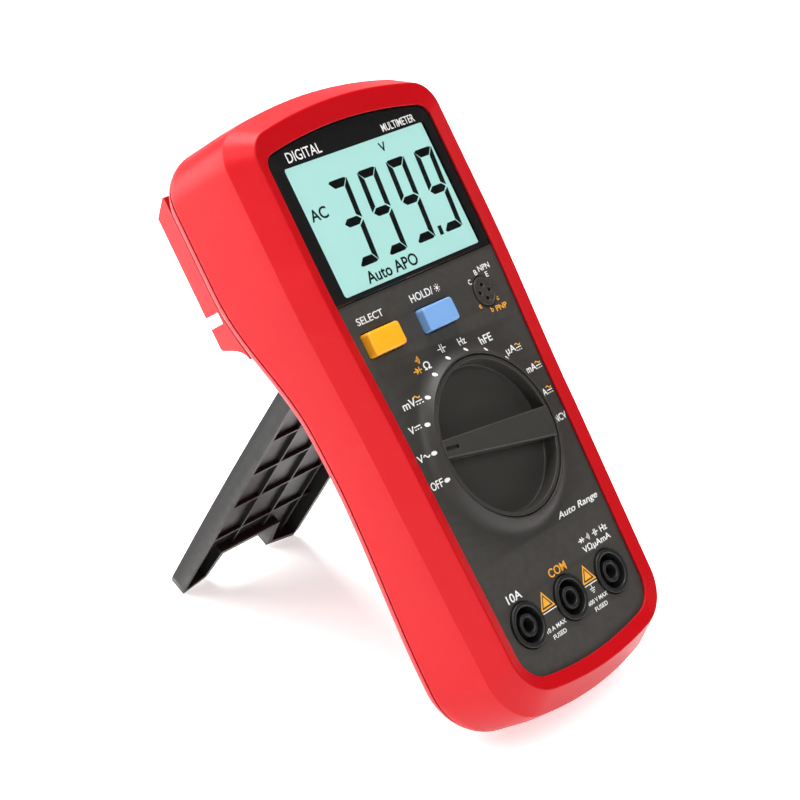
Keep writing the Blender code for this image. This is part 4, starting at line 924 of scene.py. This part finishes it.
# Jacks: ringed sleeve with a deep groove round a hollow post, and the brass contact in it.
jack = {"sleeve": rounded([(2.75, -21), (5.9, -21), (5.9, -4), (7.6, -4), (7.6, -2.9), (6.2, -2.9),
                           (6.2, 0.75), (4.85, 0.75), (4.55, -15), (3.1, -15), (3.1, 0.3), (2.0, 0.3),
                           (2.0, -6.2), (2.75, -6.2)], (0, 0, 0, 0, 0, 0.3, 0.45, 0, 0, 0.25, 0.35, 0)),
        "contact": [(0, -22.5), (2.45, -22.5), (2.45, -6.5), (2.35, -6.4), (2.1, -6.4), (2.0, -6.5),
                    (2.0, -21.7), (0, -21.7)]}

for x, plug in zip(jackSpots, ("amps", "common", "volts")):
    make(f"{plug}Sleeve", moved(lathe(jack["sleeve"], 96), x), looks["blackSatin"], "meter",
         [f"jack_sleeve_{plug}"])
    make(f"{plug}Contact", moved(lathe(jack["contact"], 48), x), looks["brass"], "meter",
         [f"jack_contact_{plug}"])

# Transistor socket: a raised round block with four pin holes.
socket = {"radius": 4.2, "top": 0.5, "hole": 0.6, "mouth": 0.85, "spacing": 2.0}


def transistorSocket():
    radius, top = socket["radius"], socket["top"]
    body = lathe([(0, -7)] + rounded([(0, -7), (radius, -7), (radius, top), (radius - 0.7, top),
                                      (radius - 0.85, top - 0.2), (0, top - 0.2)],
                                     (0, 0.25, 0.1, 0.05))[1:], 64)
    hole, mouth = socket["hole"], socket["mouth"]
    pin = [(0, -5), (hole, -5), (hole, top - 0.45), (mouth, top - 0.19), (mouth, 3), (0, 3)]
    cuts = [moved(lathe(pin, 24), a * socket["spacing"], b * socket["spacing"])
            for a, b in ((1, 0), (-1, 0), (0, 1), (0, -1))]
    return moved(combine(body, "DIFFERENCE", cuts), *panel["socket"][:2])


make("transistorSocket", transistorSocket(), looks["panelGrey"], "meter", ["transistor_socket"])
print("stage 4: dial, keys, jacks and socket")

# Rear cover: rounded edge, hooked probe rails, door rebate, screw seats, hinge lugs and the stand's recess.
rear = {"outerRail": (35.4, 38.2), "innerRail": (26.3, 28.3), "railSpan": (93, 141.2), "railDepth": 5.4,
        "railEnd": 137, "railStart": 98, "railSlot": (104.7, 108), "hook": 1.0, "lug": (17, 21),
        "lugRadius": 2.2, "pin": 1.45, "door": (25.7, 98.7, 135.9, 1.4), "recess": 26.4, "recessFloor": 2.0,
        "standLength": 95, "wall": 2.2, "wallStop": 2.4}
screws = {"head": 2.3, "tall": 1.4, "seat": 1.6, "doorSeat": 0.15, "doorSpot": (0, 102.2)}
screwSpots = [(-(halfWidth(72) - 11.4), 72), (halfWidth(72) - 11.4, 72), (-9.5, -9.5), (9.5, -9.5)]


def railPieces():
    low, high = rear["railSpan"]
    base = back(rear["railEnd"]) + 0.4
    top = back(rear["railEnd"]) - rear["railDepth"]
    stations = [low + (high - low) * k / 24 for k in range(25)]
    wedge = [(y, back(y) + 0.4) for y in stations] + [(high, base - 0.8), (low, base - 0.8)]
    rails = []
    for side in (-1, 1):
        for (near, far), hook in ((rear["outerRail"], -1), (rear["innerRail"], 1)):
            plain, hooked = (far, near) if hook < 0 else (near, far)
            tip = hooked + hook * rear["hook"]
            section = rounded([(plain, base), (plain, top), (tip, top), (tip, top + 0.8), (hooked, top + 1.8),
                               (hooked, base)], (0.4, 0.25, 0.2, 0.3))
            rails.append(prism([(side * x, z) for x, z in section], low, high, "y"))
            rails.append(prism(wedge, side * near, side * far, "x"))
    return rails


def railCuts():
    end, start = rear["railEnd"], rear["railStart"]
    skin, top = back(end) - 0.05, back(end) - rear["railDepth"]
    out = top - 2
    slant = [(end, out), (end, top), (end + 4.3, skin), (end + 9, skin), (end + 9, out)]
    first, last = rear["railSlot"]
    slot = [(first, out), (last, out), (last, skin), (first, skin)]
    curve = [(start + 1.6, top - 0.1), (start + 0.5, top + 0.5), (start, top + 1.6)]
    for k in range(1, 15):
        y = start - 5.2 * k / 14
        curve.append((y, back(y) - 0.05 + (top + 1.6 - back(y)) * (1 - k / 14) ** 3))
    curve += [(start - 5.2, out), (start + 1.6, out)]
    return [prism(points, -60, 60, "x") for points in (slant, slot, curve)]


def screwSeat(x, y, seat):
    line = [(0, -60), (2.6, -60), (2.6, seat), (1.3, seat), (1.3, seat + 0.8), (0, seat + 0.8)]
    return moved(lathe(line, 48), x, y)


def rearShell():
    rings = []
    for k in range(13):
        depth = 0.3 + (case["backRound"] - 0.3) * math.sin(math.pi / 2 * k / 12)
        side = case["backRound"] - math.sqrt(max(0.0, case["backRound"] ** 2 - depth ** 2))
        rings.append(level(side, lambda y, d=depth: parting(y) - d, [endRound(depth)] * 2))
    inner = []
    for side, depth in ((0.2, 0.3), (1.2, 1.2)):
        end = endRound(depth) + side
        stops = [stop + end for stop in ends(rear["wallStop"])]
        inner.append(level(rear["wall"] + side, lambda y, d=depth: parting(y) - d, stops))
    shell = loft(rings[::-1] + inner)

    turns = [math.pi * k / 16 for k in range(17)]
    radius = rear["lugRadius"]
    root = back(hingeSpot["y"]) + 1.2
    lug = [(hingeSpot["y"] - radius * math.cos(a), hingeHeight - radius * math.sin(a)) for a in turns]
    lug += [(hingeSpot["y"] + radius, root), (hingeSpot["y"] - radius, root)]
    adds = [prism(lug, side * rear["lug"][0], side * rear["lug"][1], "x") for side in (-1, 1)]
    shell = combine(shell, "UNION", adds)
    shell = combine(shell, "UNION", railPieces(), crossing=True)

    half, low, high, deep = rear["door"]
    stations = [low + (high - low) * k / 16 for k in range(17)]
    rebate = prism([(y, back(y) + deep) for y in stations] + [(high, -60), (low, -60)], -half, half, "x")
    cuts = railCuts() + [rebate]
    cuts += [screwSeat(x, y, back(y) + 1.9) for x, y in screwSpots]
    cuts.append(moved(cylinder(rear["pin"], -30, 30, 32), 0, hingeSpot["y"], hingeHeight, (90, "Y")))
    shell = combine(shell, "DIFFERENCE", cuts, crossing=True)

    hinge, floor = hingeSpot["y"], hingeHeight + rear["recessFloor"]
    foot = hinge - rear["standLength"] - 2
    hollow = [(foot, floor), (hinge - 6, floor), (hinge - 5, back(hinge) + 0.3),
              (hinge + 5.5, back(hinge) + 0.3), (hinge + 5.5, -60), (foot, -60)]
    reach, (lugIn, lugOut) = rear["recess"], rear["lug"]
    strips = [prism(hollow, a, b, "x") for a, b in ((-reach, -lugOut), (-lugIn, lugIn), (lugOut, reach))]
    shell = combine(shell, "DIFFERENCE", strips)
    below = hinge - 2 * radius
    rest = prism([(foot, floor), (below, floor), (below, -60), (foot, -60)], -reach, reach, "x")
    return combine(shell, "DIFFERENCE", [rest])


make("rearShell", rearShell(), looks["hardRed"], "meter", ["rear_case"])

# Battery door with moulded finger grips, and the cross-recess screws.
door = {"half": 25.4, "low": 99, "high": 135.6, "thick": 1.1, "grips": (122.5, 126, 129.5), "gripHalf": 12,
        "gripDepth": 0.35}


def batteryDoor():
    low, high, half = door["low"], door["high"], door["half"]
    stations = [low + (high - low) * k / 16 for k in range(17)]
    outline = [(y, back(y)) for y in stations] + [(y, back(y) + door["thick"]) for y in reversed(stations)]
    body = prism(outline, -half, half, "x")
    edges = [e for e in body.edges if abs(e.verts[0].co.x - e.verts[1].co.x) < 0.001
             and all(v.co.z < back(v.co.y) + 0.01 for v in e.verts)]
    bmesh.ops.bevel(body, geom=edges, offset=0.35, segments=3, affect="EDGES", profile=0.5)
    cuts = [screwSeat(*screws["doorSpot"], back(screws["doorSpot"][1]) + 0.45)]
    for y in door["grips"]:
        groove = prism(roundRect(door["gripHalf"], 0.8, 0.75), -2, door["gripDepth"])
        cuts.append(moved(groove, 0, y, back(y)))
    return combine(outward(body), "DIFFERENCE", cuts)


def crossScrew(x, y, seat, head, length):
    tall = screws["tall"]
    line = [(0, -tall)] + rounded([(0, -tall), (head, -tall), (head, 0), (1, 0)], (0.7, 0.15), 6)[1:]
    body = lathe(line + [(1, length - 1), (0, length)], 48)
    cuts = [prism([(-a, -b), (a, -b), (a, b), (-a, b)], -tall - 1, -tall + 0.75)
            for a, b in ((1.3, 0.28), (0.28, 1.3))]
    return moved(combine(body, "DIFFERENCE", cuts, crossing=True), x, y, seat)


make("batteryDoor", batteryDoor(), looks["hardRed"], "meter", ["battery_door"])
for number, (x, y) in enumerate(screwSpots, 1):
    seat = back(y) + screws["seat"]
    make(f"caseScrew{number}", crossScrew(x, y, seat, screws["head"], -6 - seat), looks["zincSteel"], "meter",
         [f"case_screw_{number}"])
x, y = screws["doorSpot"]
make("doorScrew", crossScrew(x, y, back(y) + screws["doorSeat"], screws["head"] * 0.9, 7), looks["zincSteel"],
     "meter", ["door_screw"])

# Tilt stand: a thin tray with ribs, notched at the foot; its frame has the hinge at the origin.
stand = {"length": 95, "half": 25.5, "outer": 4, "inner": 1.5, "crown": 0.5, "wall": 1.5, "notchTop": 11.3,
         "notchFoot": 13.2, "notchTall": 10.3, "notchInner": 0.2, "foot": 3, "ribTall": 1.2, "ribWide": 0.8,
         "ribPitch": 15.2, "ribColumn": 13.4, "ribHigh": -8.2, "edge": 0.4}


def standRibs():
    low, foot = -stand["length"] + stand["notchTall"] + stand["wall"] / 2, stand["wall"] / 2 - stand["length"]
    half, high = stand["half"] - stand["wall"] / 2, stand["ribHigh"]
    base, tall = stand["wall"] - stand["outer"] - 0.4, stand["ribTall"] + 0.4
    ribs, y = [], high - stand["ribPitch"] / 2
    while y > low + stand["ribPitch"] / 4:
        ribs.append(block((0, y, base + tall / 2), (2 * half, stand["ribWide"], tall)))
        y -= stand["ribPitch"]
    x = stand["ribColumn"] / 2
    while x < half - stand["ribColumn"] / 4:
        end = foot if x > stand["notchFoot"] + stand["wall"] else low
        ribs += [block((side * x, (end + high) / 2, base + tall / 2), (stand["ribWide"], high - end, tall))
                 for side in (-1, 1)]
        x += stand["ribColumn"]
    return ribs


def tiltStand():
    length, half, outer, inner = stand["length"], stand["half"], stand["outer"], stand["inner"]
    steps = 24
    face = [(-length * k / steps, -outer - stand["crown"] * math.sin(math.pi * k / steps))
            for k in range(steps + 1)]
    profile = [(1, inner), (2, 0.9), (2.3, -1.5), (1.8, -3.4)] + face + [(-length, inner)]
    body = prism(profile, -half, half, "x")
    rims = [e for e in body.edges if abs(abs(e.verts[0].co.x) - half) < 0.001
            and abs(e.verts[0].co.x - e.verts[1].co.x) < 0.001
            and not (e.verts[0].co.z > inner - 0.01 and e.verts[1].co.z > inner - 0.01)]
    bmesh.ops.bevel(body, geom=rims, offset=stand["edge"], segments=4, affect="EDGES", profile=0.5)
    outward(body)
    wall, far, corner = stand["wall"], -length, stand["foot"]
    notch, inside = far + stand["notchTall"], half - wall
    top, base = stand["notchTop"], stand["notchFoot"]
    tray = [(-inside, 5), (inside, 5), (inside, far + wall), (base + wall, far + wall),
            (top + wall, notch + wall), (-top - wall, notch + wall), (-base - wall, far + wall),
            (-inside, far + wall)]
    body = combine(body, "DIFFERENCE", [prism(tray, wall - outer, 30)])
    cuts = [prism([(-top, notch), (top, notch), (base, far - 1), (-base, far - 1)], -30, 30)]
    for way in (-1, 1):
        edge = way * half
        cuts.append(prism([(edge - way * corner * 0.4, far - 0.01), (edge + way * 0.01, far + corner),
                           (edge + way * 5, far + corner), (edge + way * 5, far - 5),
                           (edge - way * corner * 0.4, far - 5)], -30, 30))
    body = combine(body, "DIFFERENCE", cuts)
    body = combine(body, "DIFFERENCE", [moved(cylinder(1.45, -30, 30, 32), turn=(90, "Y"))])
    slope = [(-inside, inner), (-base, stand["notchInner"]), (base, stand["notchInner"]), (inside, inner),
             (inside, inner + 5), (-inside, inner + 5)]
    body = combine(body, "DIFFERENCE", [prism(slope, far - 1, notch + wall + 0.2, "y")])
    return combine(body, "UNION", standRibs(), crossing=True)


make("tiltStand", tiltStand(), looks["standGrey"], "stand", ["tilt_stand"], standPlace)
print("stage 5: rear cover, door and stand")

# What stays as packed is only painted, through its own material slot.
paint = {
    "stand_hinge_pin": "zincSteel", "lcd_frame": "blackSatin", "backlight_panel": "lightGuide",
    "zebra_strip": "rubberGrey", "button_pad": "rubberGrey", "wiper_plate": "circuitBoard",
    "main_board": "circuitBoard", "battery": "batteryJacket", "battery_lead_red": "redLead",
    "trimmer": "blueKey", "thermistor": "fuseWhite",
}
paintByWord = {"clip": "brass", "fuse": "fuseWhite", "shunt": "brass", "sensor": "brass",
               "screw": "zincSteel", "ball": "zincSteel", "crystal": "zincSteel"}


def paintKept():
    for name, obj in frame["nodes"].items():
        if obj.hide_render:
            continue
        words = [look for word, look in paintByWord.items() if word in name]
        look = looks[paint.get(name) or (words[0] if words else "blackSatin")]
        obj.material_slots[0].material = look


paintKept()

# Printing on the panel: words with their boxes (left, right, low, high), then symbols.
whiteWords = [
    ("SELECT", (-27.8, -17.4, 88.1, 90.1)), ("HOLD/", (-6.0, 3.3, 88.0, 90.2)),
    ("NPN", (23.4, 28.4, 88.4, 90.0)), ("C", (17.5, 18.7, 86.1, 87.6)), ("B", (21.3, 22.5, 87.9, 89.4)),
    ("E", (25.3, 26.4, 86.3, 87.8)),
    ("mV", (-26, -20.8, 63.5, 65.8)), ("V", (-27.7, -25.6, 57.3, 59.3)), ("V", (-29.4, -27.2, 49.8, 51.8)),
    ("OFF", (-29.3, -24.9, 42.0, 44.2)), ("Ω", (-12.5, -10.0, 70.6, 72.8)), ("Hz", (3.5, 6.5, 72.5, 74.6)),
    ("hFE", (11.4, 16.6, 70.2, 72.5)), ("µA", (19.2, 23.4, 64.3, 66.8)), ("mA", (23.4, 27.8, 57.7, 59.8)),
    ("A", (25.3, 27.4, 50.2, 52.2)), ("NCV", (25.2, 30.4, 42.2, 44.2)),
    ("VΩµAmA", (12.6, 25.2, 7.4, 9.7)), ("10A", (-22.3, -16.4, 7.0, 9.4)), ("Hz", (22.4, 25.4, 10.4, 12.2)),
    ("10 A MAX", (-13.8, -5.4, -4.9, -3.7)), ("FUSED", (-12.4, -6.8, -7.1, -5.9)),
    ("600 V MAX", (5.2, 13.9, -4.9, -3.7)), ("FUSED", (6.8, 12.4, -7.1, -5.9)),
]
slantedWords = [("Auto Range", (9.2, 27.6, 18.6, 21.0))]
amberWords = [
    ("COM", (-3.8, 3.8, 7.0, 9.4)), ("PNP", (23.2, 28.0, 76.6, 78.2)), ("c", (25.1, 26.1, 79.3, 80.4)),
    ("e", (17.3, 18.3, 79.1, 80.2)), ("b", (21.1, 22.1, 77.0, 78.5)),
]
dots = {"radius": 24.34, "size": 0.58, "first": 189.5, "step": -18.07, "count": 12}


def wave(x, y, long, tall, thick=0.32):
    points = [(x + long * (k / 12 - 0.5), y + tall * math.sin(2 * math.pi * k / 12)) for k in range(13)]
    return stroke(points, thick)


def dashes(x, y, long, thick=0.3):
    bars = [stroke([(x - long / 2, y), (x + long / 2, y)], thick)]
    fifth = long / 5
    for middle in (x - 2 * fifth, x, x + 2 * fifth):
        bars.append(stroke([(middle - fifth / 2, y - 0.75), (middle + fifth / 2, y - 0.75)], thick))
    return bars


def diode(x, y, size, thick=0.28):
    return [stroke([(x - size, y), (x + size, y)], thick),
            flat([(x - 0.4 * size, y + 0.55 * size), (x - 0.4 * size, y - 0.55 * size), (x + 0.4 * size, y)]),
            stroke([(x + 0.45 * size, y - 0.55 * size), (x + 0.45 * size, y + 0.55 * size)], thick)]


def soundWaves(x, y, size, thick=0.2):
    arcs = [disc(x, y, 0.2 * size, 12)]
    for radius in (0.55, 1.05, 1.55):
        arcs.append(stroke(arc((x, y), radius * size, [math.radians(a) for a in range(-45, 46, 10)]), thick))
    return arcs


def capacitor(x, y, size, thick=0.28):
    leads = [stroke([(x + a * size, y), (x + b * size, y)], thick) for a, b in ((-1, -0.28), (0.28, 1))]
    return leads + [stroke([(x + a * size, y - 0.7 * size), (x + a * size, y + 0.7 * size)], thick)
                    for a in (-0.22, 0.22)]


def sun(x, y, size):
    rays = [stroke([(x + 0.65 * size * math.cos(a), y + 0.65 * size * math.sin(a)),
                    (x + size * math.cos(a), y + size * math.sin(a))], 0.22)
            for a in (math.pi / 4 * k for k in range(8))]
    return rays + [disc(x, y, 0.42 * size, 16)]


def ground(x, y):
    bars = [stroke([(x - half, y - 0.55 * k), (x + half, y - 0.55 * k)], 0.24)
            for k, half in enumerate((1.1, 0.75, 0.35))]
    return bars + [stroke([(x, y + 1.1), (x, y)], 0.24)]


def panelPrint():
    white = [lettering(words, box, 0.011) for words, box in whiteWords]
    white += [lettering(words, box, 0.01, 0.25) for words, box in slantedWords]
    amber = [lettering(words, box, 0.012) for words, box in amberWords]
    for k in range(dots["count"]):
        angle = math.radians(dots["first"] + dots["step"] * k)
        white.append(disc(dots["radius"] * math.cos(angle), dialSpot["y"] + dots["radius"] * math.sin(angle),
                          dots["size"]))
    white += sun(5.3, 89.1, 1.15) + capacitor(-3.3, 74.0, 1.7) + ground(9.3, -1.2)
    white += dashes(-24.3, 58.7, 2.3) + dashes(-19.8, 64.4, 2.3) + [wave(-26.0, 50.8, 1.9, 0.42)]
    for x, y in ((24.7, 65.4), (29.0, 58.6), (28.7, 51.2)):
        white += dashes(x, y, 2.2, 0.26)
        amber.append(wave(x, y + 0.85, 2.2, 0.32, 0.28))
    amber.append(wave(-19.8, 65.5, 2.2, 0.36))
    amber += diode(-15.1, 71.4, 1.7) + soundWaves(-14.4, 73.9, 0.95)
    white += diode(13.6, 11.3, 1.35) + soundWaves(15.9, 11.3, 0.85) + capacitor(20.0, 11.3, 1.3)
    white += [stroke([(-12.7, 0.1), (-6.3, 0.1)], 0.25), stroke([(6.3, 0.1), (12.4, 0.1)], 0.25)]
    for x in (-9.5, 9.5):
        amber.append(stroke([(x - 2.7, 0.9), (x + 2.7, 0.9), (x, 5.2)], 0.4, closed=True))
        amber.append(flat([(x - 1.55, 1.55), (x + 1.55, 1.55), (x, 4.05)]))
    return white, amber


whiteFlats, amberFlats = panelPrint()
printed("whitePrint", whiteFlats, looks["whiteInk"], collarHeight)
printed("amberPrint", amberFlats, looks["amberInk"], collarHeight)
lensWords = [("DIGITAL", (-25, -11.8, 133.3, 136.2)), ("MULTIMETER", (12.8, 26.5, 133.0, 135.2))]
printed("lensPrint", [lettering(words, box, 0.004) for words, box in lensWords], looks["whiteInk"],
        lens["top"], 0.02, 0.02)
print("stage 6: printing and finishes on the packed parts")

# Studio: a pale floor that runs out of view, a white room with one dark side, and soft lights.
studio = {
    "floor": (0.9, 0.9, 0.905), "floorGlow": 0.6, "room": 0.5,
    "darkSide": (0.713, -0.569, 0.409), "dark": 0.03, "darkFrom": 0.1, "darkTo": 0.75,
    "key": {"energy": 9, "size": 0.7, "at": (-0.05, -0.8, 1.2), "aim": (0, 0, 0.08)},
    "behind": {"energy": 13, "size": 0.9, "at": (-0.55, 0.85, 0.4), "aim": (0, 0, 0.08)},
    "top": {"energy": 22, "size": 0.8, "at": (0.1, 0.5, 1.05), "aim": (0, 0, 0.08)},
}


def floorMaterial():
    material, tree, shader, spots = startMaterial("paleFloor")
    pale = useEffect(tree, "tone", spots, Colour=(*studio["floor"], 1), Amount=0.01, Scale=6.0)
    marks = useEffect(tree, "handling", spots, Roughness=0.75, Amount=0.03, Scale=8.0)
    feed(tree, shader, {"Base Color": pale, "Roughness": marks, "Emission Color": (1, 1, 1, 1),
                        "Emission Strength": studio["floorGlow"]})
    return material


def buildStudio():
    bpy.ops.mesh.primitive_plane_add(size=40, location=(0, 0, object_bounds()[0][2]))
    floor = bpy.context.active_object
    floor.name = "studioFloor"
    floor.data.materials.append(floorMaterial())
    world = bpy.data.worlds.new("studioWorld")
    world.use_nodes = True
    tree = world.node_tree
    way = node(tree, "ShaderNodeTexCoord")
    side = node(tree, "ShaderNodeVectorMath", operation="DOT_PRODUCT")
    side.inputs[1].default_value = studio["darkSide"]
    tree.links.new(way.outputs["Generated"], side.inputs[0])
    shade = node(tree, "ShaderNodeMapRange", interpolation_type="SMOOTHSTEP")
    feed(tree, shade, {"Value": side.outputs["Value"], "From Min": studio["darkFrom"],
                       "From Max": studio["darkTo"], "To Min": studio["room"], "To Max": studio["dark"]})
    feed(tree, tree.nodes["Background"], {"Color": (1, 1, 1, 1), "Strength": shade.outputs["Result"]})
    bpy.context.scene.world = world
    for name in ("key", "behind", "top"):
        lamp = studio[name]
        light = bpy.data.lights.new(name, "AREA")
        light.energy, light.size = lamp["energy"], lamp["size"]
        obj = bpy.data.objects.new(name, light)
        obj.location = lamp["at"]
        aim = Vector(lamp["aim"]) - Vector(lamp["at"])
        obj.rotation_euler = aim.to_track_quat("-Z", "Y").to_euler()
        bpy.context.scene.collection.objects.link(obj)


viewpoint = {"lens": 96.25, "sensor": 36, "at": (-0.41504, -0.32018, 0.32088),
             "right": (0.62881, -0.77674, 0.03569), "up": (0.30996, 0.29249, 0.90464),
             "behind": (-0.71311, -0.55778, 0.42467)}


def buildCamera():
    data = bpy.data.cameras.new("view")
    data.lens, data.sensor_width = viewpoint["lens"], viewpoint["sensor"]
    camera = bpy.data.objects.new("view", data)
    turned = Matrix([viewpoint[key] for key in ("right", "up", "behind")]).transposed().to_4x4()
    camera.matrix_world = Matrix.Translation(viewpoint["at"]) @ turned
    bpy.context.scene.collection.objects.link(camera)
    bpy.context.scene.camera = camera


buildStudio()
buildCamera()
bpy.context.scene.view_settings.view_transform = "Standard"
print("stage 7: studio and camera")
